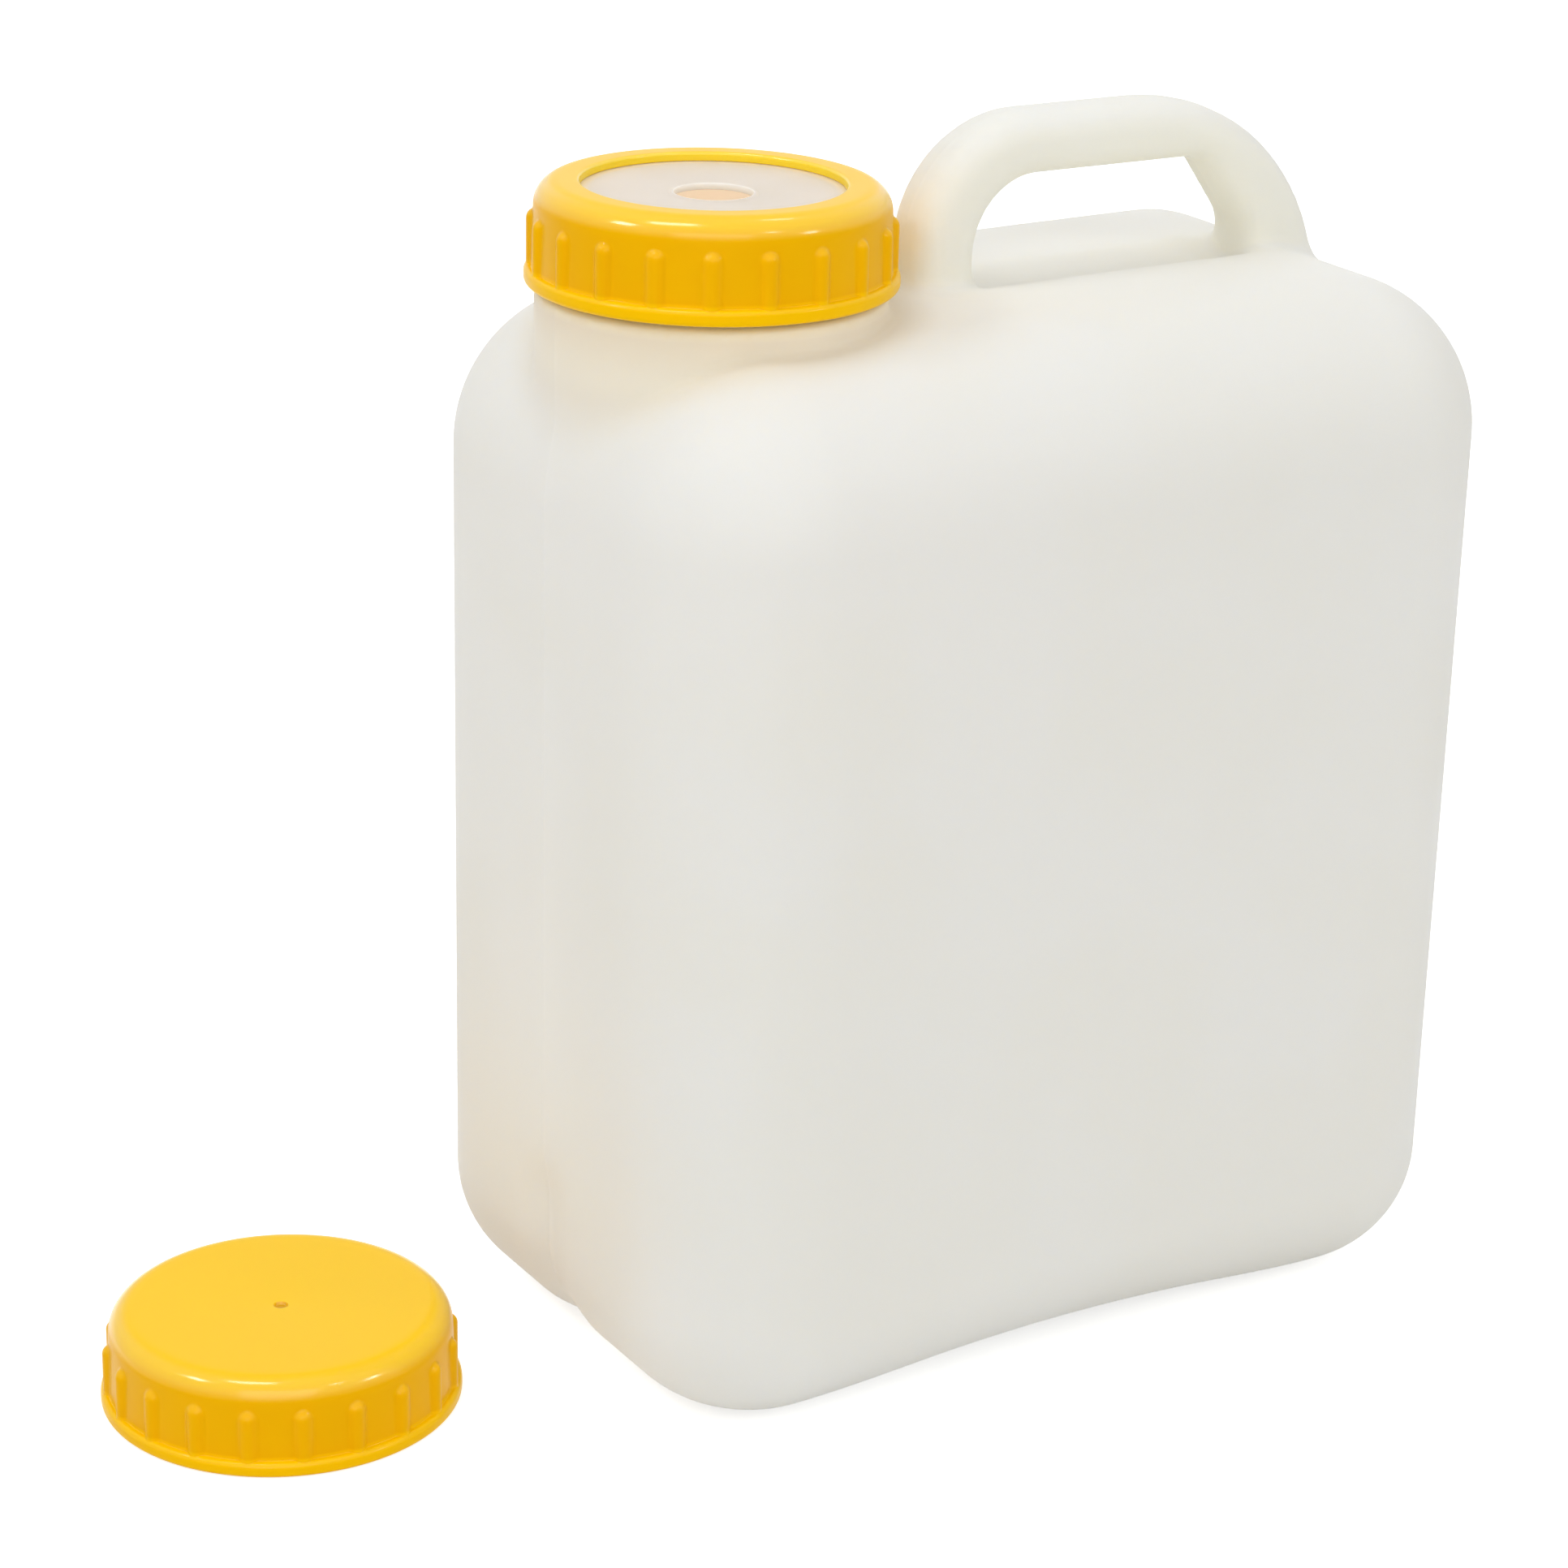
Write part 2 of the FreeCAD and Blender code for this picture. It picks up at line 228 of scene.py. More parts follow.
def add_object(name: str, data: bpy.types.ID) -> Object:
    """Puts something in the scene, at the origin.

    Args:
        name: Name of the object.
        data: Its mesh, light or camera.

    Returns:
        The object.
    """
    holder = bpy.data.objects.new(name, data)
    bpy.context.scene.collection.objects.link(holder)
    return holder


def stand_in(mesh: Mesh, node: str, body: str, slot: str, *finishes: Material) -> Object:
    """Puts a mesh in the scene in place of a node.

    Args:
        mesh: The piece's mesh, which gives it its name.
        node: Node that it replaces.
        body: Body that it rides on.
        slot: Slot that its finish belongs to; not used.
        finishes: The mesh's materials.

    Returns:
        The piece's object.
    """
    mesh.materials.clear()
    for finish in finishes:
        mesh.materials.append(finish)
    piece = add_object(mesh.name, mesh)
    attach(piece, body)
    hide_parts(node)
    return piece


def round_angles(count: int) -> Array:
    """Even angles round a full turn."""
    return np.linspace(0, FULL_TURN, count, endpoint=False)


def turned_mesh(name: str, radius: Array, height: Array, angles: Array, foot: Array,
                closed: bool) -> Mesh:
    """Mesh of a turned surface: row i, column j lies at radius[i, j] from the upright axis, at
    angle j and height[i]. A closed profile joins its last row to its first; an open one ends in
    a pole at each end.

    Args:
        name: Name of the mesh.
        radius: Radii, one row for each point of the profile, and one column for each angle or
            for all.
        height: Heights of the rows over the foot.
        angles: Angles of the columns.
        foot: Place of the axis at height 0.
        closed: Whether the profile is a closed loop.

    Returns:
        The mesh.
    """
    rows, columns = len(height), len(angles)
    radius = np.broadcast_to(radius, (rows, columns))
    level = np.broadcast_to(foot[2] + height[:, None], radius.shape)
    grid = np.stack([foot[0] + radius * np.cos(angles), foot[1] + radius * np.sin(angles), level],
                    axis=-1)
    first = np.arange(rows)
    second = (first + 1) % rows
    if not closed:
        grid, first = grid[1:-1], np.arange(rows - 3)
        second = first + 1
    here = np.arange(columns)
    ahead = (here + 1) % columns
    quads = np.stack([first[:, None] * columns + here, first[:, None] * columns + ahead,
                      second[:, None] * columns + ahead, second[:, None] * columns + here],
                     axis=-1).reshape(-1, 4)
    points = grid.reshape(-1, 3)
    if closed:
        return put_mesh(name, points, quads)
    bottom, top = len(points), len(points) + 1
    last = (rows - 3) * columns
    poles = foot + np.array([[0, 0, height[0]], [0, 0, height[-1]]])
    fans = np.vstack([np.column_stack([ahead, here, np.full(columns, bottom)]),
                      np.column_stack([last + here, last + ahead, np.full(columns, top)])])
    return put_mesh(name, np.vstack([points, poles]), quads, fans)


def turned_piece(node: str, body: str, slot: str, section: Outline, finish: Material) -> Object:
    """Small turned piece: a closed section carried round its node's axis.

    Args:
        node: Node that it replaces, on whose foot it stands.
        body: Body that it rides on.
        slot: Slot that its finish belongs to.
        section: Section, of radii and heights over the foot.
        finish: Its material.

    Returns:
        The piece's object.
    """
    path = section.points()
    rows = rows_along(np.vstack([path, path[:1]]), lambda points: np.full(len(points), 2.0))[:-1]
    mesh = turned_mesh(node + "_skin", rows[:, :1], rows[:, 1], round_angles(240),
                       node_foot(node), closed=True)
    return stand_in(mesh, node, body, slot, finish)


def drawn_onto(form: Form, level: float, points: Array, furthest: float) -> Array:
    """Moves points onto the form's surface: each goes down the slope of the distance by the
    distance over the slope's square, three times.

    Args:
        form: Signed distance of the form.
        level: Distance at which the surface lies.
        points: Rows of (x, y, z).
        furthest: Longest move in one go.

    Returns:
        The moved points.
    """
    reach = 0.02
    for _ in range(3):
        value = form(*points.T) - level
        slope = np.stack([form(*(points + step).T) - form(*(points - step).T)
                          for step in reach * np.eye(3)], axis=1) / (2 * reach)
        steep = np.maximum((slope ** 2).sum(axis=1), 0.05)
        move = -slope * (value / steep)[:, None]
        size = np.linalg.norm(move, axis=1)
        points = points + move * np.minimum(1, furthest / np.maximum(size, 1e-9))[:, None]
    return points


def skin_mesh(name: str, form: Form, level: float, axes: tuple[Array, Array, Array]) -> Mesh:
    """Surface of a form on a box grid. Each cell that the surface crosses gets a point at the
    mean of its crossings, four such points round each crossed grid line make a face, and the
    points are then drawn onto the surface.

    Args:
        name: Name of the mesh.
        form: Signed distance of the form, for coordinates of matching shapes.
        level: Distance at which the surface lies.
        axes: Grid coordinates along x, y and z.

    Returns:
        The closed mesh.
    """
    x, y, z = axes
    values = form(x[:, None, None], y[None, :, None], z[None, None, :]) - level
    inside = values < 0
    size = np.array(values.shape) - 1
    corners = list(product((0, 1), repeat=3))

    def at_corner(grid: Array, corner: tuple[int, ...]) -> Array:
        """The grid's values at one corner of every cell."""
        return grid[tuple(slice(low, low + count) for low, count in zip(corner, size))]

    filled = sum(at_corner(inside, corner).astype(np.int8) for corner in corners)
    crossed = (filled > 0) & (filled < 8)
    cells = np.argwhere(crossed)
    number = np.zeros(crossed.shape, np.int64)
    number[crossed] = np.arange(len(cells))
    total, hits = np.zeros((len(cells), 3)), np.zeros(len(cells))
    for start, axis in product(corners, (0, 1, 2)):
        if start[axis] == 1:
            continue
        end = tuple(1 if place == axis else low for place, low in enumerate(start))
        first, second = at_corner(values, start)[crossed], at_corner(values, end)[crossed]
        meets = (first < 0) != (second < 0)
        share = np.where(meets, first / np.where(meets, first - second, 1), 0)
        for place in (0, 1, 2):
            low = axes[place][cells[:, place] + start[place]]
            high = axes[place][cells[:, place] + end[place]]
            total[:, place] += np.where(meets, low + (high - low) * share, 0)
        hits += meets
    points = drawn_onto(form, level, total / hits[:, None], 2.0)
    faces = []
    for axis in (0, 1, 2):
        across, beyond = (axis + 1) % 3, (axis + 2) % 3
        low = [slice(1, count) for count in size]
        high = list(low)
        low[axis], high[axis] = slice(0, size[axis]), slice(1, size[axis] + 1)
        leaving = inside[tuple(low)] & ~inside[tuple(high)]
        entering = ~inside[tuple(low)] & inside[tuple(high)]
        for change, order in ((leaving, 1), (entering, -1)):
            ring = []
            for step_across, step_beyond in ((0, 0), (1, 0), (1, 1), (0, 1))[::order]:
                cell = np.argwhere(change)
                cell[:, across] += step_across
                cell[:, beyond] += step_beyond
                ring.append(number[tuple(cell.T)])
            faces.append(np.stack(ring, axis=1))
    return put_mesh(name, points, np.vstack(faces))


class Join(Enum):
    """How one closed mesh is joined with another."""

    UNION = "UNION"
    DIFFERENCE = "DIFFERENCE"


def joined(name: str, first: Mesh, second: Mesh, how: Join) -> Mesh:
    """Union or difference of two closed meshes.

    Args:
        name: Name of the new mesh.
        first: Mesh that is kept or cut.
        second: Mesh that is added or taken away.
        how: Which of the two.

    Returns:
        The joined mesh.
    """
    holder, tool = add_object("work_holder", first), add_object("work_tool", second)
    step = holder.modifiers.new("join", "BOOLEAN")
    step.operation = how.value
    step.solver = "MANIFOLD"
    step.object = tool
    bpy.context.view_layer.update()
    ready = holder.evaluated_get(bpy.context.evaluated_depsgraph_get())
    made = bpy.data.meshes.new_from_object(ready)
    made.name = name
    for spent in (holder, tool):
        bpy.data.objects.remove(spent)
    for spent in (first, second):
        bpy.data.meshes.remove(spent)
    return made


# ---------------- node trees

class Tree:
    """Short calls for building a node tree."""

    def __init__(self, tree: bpy.types.NodeTree) -> None:
        """Takes the tree that the nodes go into."""
        self.nodes = tree.nodes
        self.links = tree.links

    def feed(self, node: Node, inputs: dict[str | int, object]) -> None:
        """Gives a node its inputs.

        Args:
            node: The node.
            inputs: Values or sockets for its inputs, by name or number.
        """
        for key, value in inputs.items():
            if isinstance(value, Socket):
                self.links.new(value, node.inputs[key])
            else:
                node.inputs[key].default_value = value

    def add(self, kind: str, inputs: dict[str | int, object] | None = None,
            **settings: object) -> Node:
        """Adds a node.

        Args:
            kind: Blender's name of the node's class.
            inputs: Values or sockets for its inputs, by name or number.
            settings: Values of its own properties.

        Returns:
            The node.
        """
        node = self.nodes.new(kind)
        for key, value in settings.items():
            setattr(node, key, value)
        self.feed(node, inputs or {})
        return node

    def math(self, operation: str, first: object, second: object = 0.0,
             third: object = 0.0) -> Socket:
        """Output of a math node on two or three values or sockets."""
        return self.add("ShaderNodeMath", {0: first, 1: second, 2: third},
                        operation=operation).outputs[0]

    def times(self, first: object, second: object) -> Socket:
        """Product of two values or sockets."""
        return self.math("MULTIPLY", first, second)

    def fade(self, value: Socket, span: Span, base: float = 0.0, start: float = 0.0,
             end: float = 1.0) -> Socket:
        """Smooth step from start to end as value crosses a span, which is counted from base."""
        return self.add("ShaderNodeMapRange", {
            "Value": value, "From Min": base + span[0], "From Max": base + span[1],
            "To Min": start, "To Max": end}, interpolation_type="SMOOTHSTEP").outputs["Result"]

    def mix(self, share: Socket, first: Socket | Colour, second: Colour) -> Socket:
        """Colour between two, the first a socket or a display colour, the second a display one."""
        first = first if isinstance(first, Socket) else linear(first)
        return self.add("ShaderNodeMix", {0: share, 6: first, 7: linear(second)},
                        data_type="RGBA").outputs[2]

    def vector(self, operation: str, first: Socket, second: tuple[float, ...]) -> Socket:
        """Output of a vector math node: its vector, or its number if it measures a distance."""
        node = self.add("ShaderNodeVectorMath", {0: first, 1: second}, operation=operation)
        return node.outputs["Value" if operation == "DISTANCE" else "Vector"]

    def parts(self, vector: Socket) -> tuple[Socket, ...]:
        """The x, y and z of a vector."""
        return tuple(self.add("ShaderNodeSeparateXYZ", {0: vector}).outputs)

    def place(self) -> Socket:
        """Place on the piece, in metres."""
        return self.add("ShaderNodeTexCoord").outputs["Object"]

    def millimetres(self) -> Socket:
        """Place on the piece, in millimetres."""
        return self.vector("DIVIDE", self.place(), (MM, MM, MM))

    def from_axis(self, place: Socket, foot: Array) -> Socket:
        """Distance of a place from the upright axis through a foot."""
        level = self.vector("MULTIPLY", place, (1.0, 1.0, 0.0))
        return self.vector("DISTANCE", level, (foot[0], foot[1], 0.0))

    def facing(self) -> Socket:
        """How far the surface faces up: 1 on a level top, 0 on an upright wall."""
        return self.parts(self.add("ShaderNodeNewGeometry").outputs["Normal"])[2]

    def seen_directly(self) -> Socket:
        """Mask of the rays that show the room: straight, mirrored or through glass."""
        rays = self.add("ShaderNodeLightPath").outputs
        return self.math("MAXIMUM", rays["Is Camera Ray"], self.math(
            "MAXIMUM", rays["Is Transmission Ray"], rays["Is Glossy Ray"]))

    def noise(self, place: Socket, scale: Socket | float, detail: float,
              roughness: float = 0.5) -> Socket:
        """Noise between 0 and 1."""
        return self.add("ShaderNodeTexNoise", {"Vector": place, "Scale": scale, "Detail": detail,
                                               "Roughness": roughness}).outputs["Fac"]


def fresh_tree(owner: Material | bpy.types.World) -> Tree:
    """Empties the node tree of a material or world.

    Args:
        owner: The material or world.

    Returns:
        Its tree.
    """
    owner.use_nodes = True
    owner.node_tree.nodes.clear()
    return Tree(owner.node_tree)


def new_group(name: str, inputs: dict[str, float],
              outputs: tuple[str, ...]) -> tuple[Tree, Node, Node]:
    """Empty shader node group with number inputs and outputs.

    Args:
        name: Name of the group.
        inputs: Names and usual values of the inputs.
        outputs: Names of the outputs.

    Returns:
        The group's tree, its input node and its output node.
    """
    group = bpy.data.node_groups.new(name, "ShaderNodeTree")
    for label, value in inputs.items():
        socket = group.interface.new_socket(label, in_out="INPUT", socket_type="NodeSocketFloat")
        socket.default_value = value
    for label in outputs:
        group.interface.new_socket(label, in_out="OUTPUT", socket_type="NodeSocketFloat")
    tree = Tree(group)
    return tree, tree.add("NodeGroupInput"), tree.add("NodeGroupOutput")


def make_skin_group() -> None:
    """Makes the skin of moulded plastic. Inputs: Grain and Wave, both per metre. Outputs: Height,
    of fine grain on a slow waviness from shrinkage, and Patch, a mask of the waviness."""
    tree, given, result = new_group("moulded_skin", {"Grain": 900.0, "Wave": 22.0},
                                    ("Height", "Patch"))
    place = tree.place()
    grain = tree.noise(place, given.outputs["Grain"], 2.0)
    wave = tree.noise(place, given.outputs["Wave"], 1.0, 0.4)
    tree.feed(result, {"Height": tree.math("MULTIPLY_ADD", wave, 6.0, grain),
                       "Patch": tree.fade(wave, (0.35, 0.65))})


def make_scuff_group() -> None:
    """Makes light handling marks: thin crossing strokes where a slow noise lets them show.
    Input: Amount. Output: Scuff."""
    tree, given, result = new_group("handling_marks", {"Amount": 0.5}, ("Scuff",))
    place = tree.place()
    strokes = []
    for turn in ((0.3, 0.9, 0.4), (1.2, 0.2, 2.0)):
        stretched = tree.add("ShaderNodeMapping", {"Vector": place, "Rotation": turn,
                                                   "Scale": (700.0, 25.0, 60.0)})
        strokes.append(tree.fade(tree.noise(stretched.outputs[0], 1.0, 2.0, 0.6), (0.64, 0.72)))
    marks = tree.times(tree.fade(tree.noise(place, 14.0, 2.0), (0.45, 0.7)),
                       tree.math("MAXIMUM", *strokes))
    tree.feed(result, {"Scuff": tree.times(marks, given.outputs["Amount"])})


# ---------------- finishes

@dataclass(frozen=True)
class Finish:
    """Plain moulded surface: a colour with slow patches of a shade, grain and handling marks."""

    colour: Colour
    shade: Colour                   # slow patches
    grain: float                    # grains per metre
    wave: float                     # waves per metre
    bump: float                     # depth of the grain
    scuffs: float                   # share of handling marks
    roughness: float
    patch_rough: float = 0.0        # roughness that the patches add
    scuff_rough: float = 0.1        # and that the handling marks add
    gloss: float = 0.5
    depth: float = 0.0              # share of light that enters the plastic
    reach: float = 8.0              # how far it travels there
    reach_tint: Colour = (1.0, 0.9, 0.75)

    def start(self, name: str) -> tuple[Material, Tree, Node, Socket]:
        """Starts a material with all that the finishes share.

        Args:
            name: Name of the material.

        Returns:
            The material, its tree, its shader and its patchy colour, not yet fed to the shader.
        """
        material = bpy.data.materials.new(name)
        tree = fresh_tree(material)
        shader = tree.add("ShaderNodeBsdfPrincipled")
        tree.add("ShaderNodeOutputMaterial", {"Surface": shader.outputs[0]})
        groups = bpy.data.node_groups
        skin = tree.add("ShaderNodeGroup", node_tree=groups["moulded_skin"])
        marks = tree.add("ShaderNodeGroup", node_tree=groups["handling_marks"])
        tree.feed(skin, {"Grain": self.grain, "Wave": self.wave})
        tree.feed(marks, {"Amount": self.scuffs})
        bump = tree.add("ShaderNodeBump", {"Height": skin.outputs["Height"], "Strength": 1.0,
                                           "Distance": self.bump * MM})
        patch = skin.outputs["Patch"]
        rough = tree.math("MULTIPLY_ADD", patch, self.patch_rough, self.roughness)
        rough = tree.math("MULTIPLY_ADD", marks.outputs["Scuff"], self.scuff_rough, rough)
        tree.feed(shader, {
            "Roughness": rough, "Normal": bump.outputs["Normal"], "Specular IOR Level": self.gloss,
            "Subsurface Weight": self.depth, "Subsurface Radius": self.reach_tint,
            "Subsurface Scale": self.reach * MM})
        return material, tree, shader, tree.mix(patch, self.colour, self.shade)


@dataclass(frozen=True)
class MilkyPlastic:
    """Natural high-density polyethylene of the can: milky and satin, with painted light in its
    colour: warm light from the yellow ring round the neck, light that lifts the shade at the lower
    ends, light on the handle's upright sides and on the strip under the ring. Each span is where a
    tint starts and where it is full, over the ledge or in collar radii from the ledge's middle."""

    plain: Finish = Finish(colour=(240, 239, 231), shade=(239, 237, 227), grain=700, wave=16,
                           bump=0.012, scuffs=0.4, roughness=0.55, patch_rough=0.05,
                           scuff_rough=0.12, gloss=0.3, depth=0.8)
    painted_neck_bounce: Colour = (220, 196, 161)          # painted warm light bounced from the yellow ring, round the neck
    painted_neck_bounce_share: float = 0.75
    painted_neck_radii: Span = (1.35, 0.8)
    painted_end_light: Colour = (254, 249, 237)       # painted warm light that lifts the shade at the lower ends
    painted_end_light_share: float = 0.85
    painted_end_span: Span = (85.0, 20.0)       # from the end, at the seam and the floor
    painted_end_slants: Span = (0.6, 0.35)      # how fast it narrows away from the seam and upwards
    painted_handle_light: Colour = (255, 248, 226)          # painted light on the handle's upright sides
    painted_handle_light_share: float = 0.55
    painted_handle_heights: Span = (-25.0, -10.0)
    painted_handle_radii: Span = (0.98, 1.1)
    painted_handle_facing: Span = (0.8, 0.2)
    painted_under_ring_light: Colour = (252, 241, 212)    # painted light on the strip under the ring, over its contact shadow
    strip_foot: Span = (-4.0, -1.0)
    strip_top: Span = (1.5, 0.2)
    glow: Colour = (250, 226, 202)          # light inside the neck
    glow_radii: Span = (1.12, 0.97)
    glow_handle: Colour = (124, 119, 102)   # light inside the handle
    handle_heights: Span = (0.0, 12.0)
    glow_deep: Colour = (110, 104, 92)      # light inside the can
    glow_strength: float = 0.54

    def material(self, ledge: Array, collar: float, half_length: float, inside: bool) -> Material:
        """Builds the material.

        Args:
            ledge: Middle of the collar's ledge.
            collar: Radius of the collar.
            half_length: Half of the can's length.
            inside: Whether it is for the inside, which glows with light that came in through
                the wall.

        Returns:
            The material.
        """
        name = "milky_plastic_inside" if inside else "milky_plastic"
        material, tree, shader, base = self.plain.start(name)
        place = tree.millimetres()
        along, across, up = tree.parts(place)
        radii = tree.math("DIVIDE", tree.vector("DISTANCE", place, tuple(ledge)), collar)
        near_neck = tree.fade(radii, self.painted_neck_radii)
        # Painted warm light that lifts the shade at the lower ends, strongest by the seam and the
        # floor.
        to_end = tree.math("SUBTRACT", half_length, tree.math("ABSOLUTE", along))
        for part, slant in zip((tree.math("ABSOLUTE", across), up), self.painted_end_slants):
            to_end = tree.math("MULTIPLY_ADD", part, slant, to_end)
        base = tree.mix(tree.fade(to_end, self.painted_end_span, end=self.painted_end_light_share), base,
                        self.painted_end_light)
        # Painted warm light from the yellow ring, round the neck.
        base = tree.mix(tree.times(near_neck, self.painted_neck_bounce_share), base, self.painted_neck_bounce)
        if inside:
            light = tree.mix(tree.fade(up, self.handle_heights, ledge[2]), self.glow_deep,
                             self.glow_handle)
            light = tree.mix(tree.fade(radii, self.glow_radii), light, self.glow)
            tree.feed(shader, {"Emission Color": light, "Emission Strength": self.glow_strength})
        else:
            # Painted light on the handle's upright sides, from just below the ledge up.
            handle = tree.times(
                tree.fade(up, self.painted_handle_heights, ledge[2], end=self.painted_handle_light_share),
                tree.fade(radii, self.painted_handle_radii))
            handle = tree.times(handle, tree.fade(tree.facing(), self.painted_handle_facing))
            # Painted light on the strip under the ring, where its contact shadow falls.
            strip = tree.times(tree.fade(up, self.strip_foot, ledge[2]),
                               tree.fade(up, self.strip_top, ledge[2]))
            base = tree.mix(handle, base, self.painted_handle_light)
            base = tree.mix(tree.times(near_neck, strip), base, self.painted_under_ring_light)
        tree.feed(shader, {"Base Color": base})
        return material


@dataclass(frozen=True)
class GlossyPlastic:
    """Dyed injection-moulded plastic of the caps, matt on the ribbed wall and polished above, with
    painted light on faces that face up and on the bead. Each facing span is where a tint starts and
    is full by how far the surface faces up."""

    plain: Finish = Finish(colour=(240, 180, 1), shade=(238, 177, 1), grain=1400, wave=30,
                           bump=0.002, scuffs=0.1, roughness=0.3, patch_rough=0.03,
                           scuff_rough=0.18, gloss=0.08, depth=0.25, reach=3.0,
                           reach_tint=(1.0, 0.7, 0.1))
    painted_top_light: Colour = (252, 200, 1)           # painted light where it faces up
    painted_top_facing: Span = (0.1, 0.8)
    painted_lip_light: Colour = (255, 218, 60)            # painted light on the wall of the opening, over its shade
    painted_pit_shade: Colour = (214, 158, 1)             # painted shade in the dimple of the closed top
    middle_span: Span = (0.9, 0.1)          # beyond the radius of the opening or dimple
    sheen: Colour = (255, 228, 140)         # tint of what the matt wall reflects
    polish: float = 0.72                    # share of the polish on the rounded shoulder
    polish_facing: Span = (0.15, 0.5)
    polish_flat: float = 0.3                # how much of that is left on the flat top
    flat_facing: Span = (0.85, 0.99)
    polish_rough: float = 0.14
    polish_ior: float = 1.72
    ribs_span: Span = (-0.5, 1.5)           # over the ribs' top
    ribs_share: float = 0.3                 # how much of the top's looks, painted light included, the ribs' ends have
    bead_span: Span = (1.5, 0.5)            # over the bead's top
    painted_bead_share: float = 0.7                 # how much painted light the bead has all round

    def material(self, name: str, cap: "ScrewCap", hole: float, middle: Colour) -> Material:
        """Builds the material of one cap.

        Args:
            name: Name of the material.
            cap: The cap.
            hole: Radius of the opening or dimple in its top.
            middle: Painted light for the opening's wall, or painted shade for the dimple.

        Returns:
            The material.
        """
        material, tree, shader, base = self.plain.start(name)
        facing, place, foot = tree.facing(), tree.millimetres(), node_foot(cap.node)
        up = tree.parts(place)[2]
        over_ribs = tree.fade(up, self.ribs_span, foot[2] + cap.rib_top, self.ribs_share)
        on_bead = tree.fade(up, self.bead_span, foot[2] + cap.flange_height)
        near_hole = tree.fade(tree.from_axis(place, foot), self.middle_span, hole)
        # Painted light where the surface faces up, over the ribs' ends, and all round the bead.
        share = tree.times(tree.fade(facing, self.painted_top_facing),
                           tree.math("MAXIMUM", over_ribs, on_bead))
        share = tree.math("MAXIMUM", share, tree.times(on_bead, self.painted_bead_share))
        base = tree.mix(share, base, self.painted_top_light)
        polish = tree.times(tree.fade(facing, self.polish_facing, end=self.polish), over_ribs)
        level = tree.fade(facing, self.flat_facing, start=1.0, end=self.polish_flat)
        # Painted light on the wall of the ring's opening, or painted shade in the closed cap's
        # dimple.
        tree.feed(shader, {
            "Base Color": tree.mix(tree.times(over_ribs, near_hole), base, middle),
            "Specular Tint": linear(self.sheen), "Coat Weight": tree.times(polish, level),
            "Coat Roughness": self.polish_rough, "Coat IOR": self.polish_ior})
        return material


@dataclass(frozen=True)
class FrostedPlastic:
    """Translucent plastic of the insert disc, with painted light on the bore's wall and painted
    warm light beside the ring's lip, over its contact shadow."""

    plain: Finish = Finish(colour=(216, 207, 197), shade=(212, 203, 192), grain=900, wave=40,
                           bump=0.006, scuffs=0.4, roughness=0.38, scuff_rough=0.15, depth=0.9)
    edge: Colour = (238, 231, 221)          # painted light on the wall of the bore, over its shade
    painted_bore_span: Span = (0.5, 0.1)            # beyond the bore's radius
    painted_lip_light: Colour = (250, 224, 186)           # painted warm light beside the ring's lip, over its contact shadow
    painted_lip_light_span: Span = (-3.5, -0.2)           # beyond the lip's radius
    painted_lip_light_share: float = 0.7

    def material(self, foot: Array, bore: float, lip: float) -> Material:
        """Builds the material.

        Args:
            foot: Middle of the disc's underside.
            bore: Radius of the bore.
            lip: Radius of the opening in the ring's lip, over the disc.

        Returns:
            The material.
        """
        material, tree, shader, base = self.plain.start("frosted_plastic")
        radius = tree.from_axis(tree.millimetres(), foot)
        # Painted warm light beside the ring's lip, over its contact shadow.
        base = tree.mix(tree.fade(radius, self.painted_lip_light_span, lip, end=self.painted_lip_light_share), base, self.painted_lip_light)
        # Painted light on the bore's wall.
        base = tree.mix(tree.fade(radius, self.painted_bore_span, bore), base, self.edge)
        tree.feed(shader, {"Base Color": base})
        return material


@dataclass(frozen=True)
class SealRubber:
    """Soft off-white rubber of the flat seals."""

    plain: Finish = Finish(colour=(222, 219, 212), shade=(208, 205, 198), grain=2200, wave=120,
                           bump=0.01, scuffs=0.2, roughness=0.7)

    def material(self) -> Material:
        """Builds the material.

        Returns:
            The material.
        """
        material, tree, shader, base = self.plain.start("seal_rubber")
        tree.feed(shader, {"Base Color": base})
        return material


# ---------------- threads

@dataclass(frozen=True)
class Thread:
    """Right-handed ridge of flat-topped section: its height over a wall is full within half its
    crest, falls straight to nothing at half its root, and runs out at both ends."""

    start: float                    # height of the ridge's middle at angle 0
    turns: float
    pitch: float = 6.0
    height: float = 1.9
    root: float = 3.2
    crest: float = 1.4
    run_out: float = 0.05           # turns

    def ridge(self, angles: Array, heights: Array) -> Array:
        """Height of the ridge over its wall, from the distance to the nearest turn of the helix.

        Args:
            angles: Angles of the columns.
            heights: Heights of the rows.

        Returns:
            Heights over the wall, by row and column.
        """
        turned = angles[None, :] / FULL_TURN
        nearest = np.round((heights[:, None] - self.start) / self.pitch - turned)
        along = turned + nearest
        off = np.abs(heights[:, None] - self.start - self.pitch * along)
        section = np.clip((self.root / 2 - off) / (self.root / 2 - self.crest / 2), 0, 1)
        ends = np.clip(np.minimum(along, self.turns - along) / self.run_out, 0, 1)
        return self.height * section * ends * ends * (3 - 2 * ends)


# ---------------- can

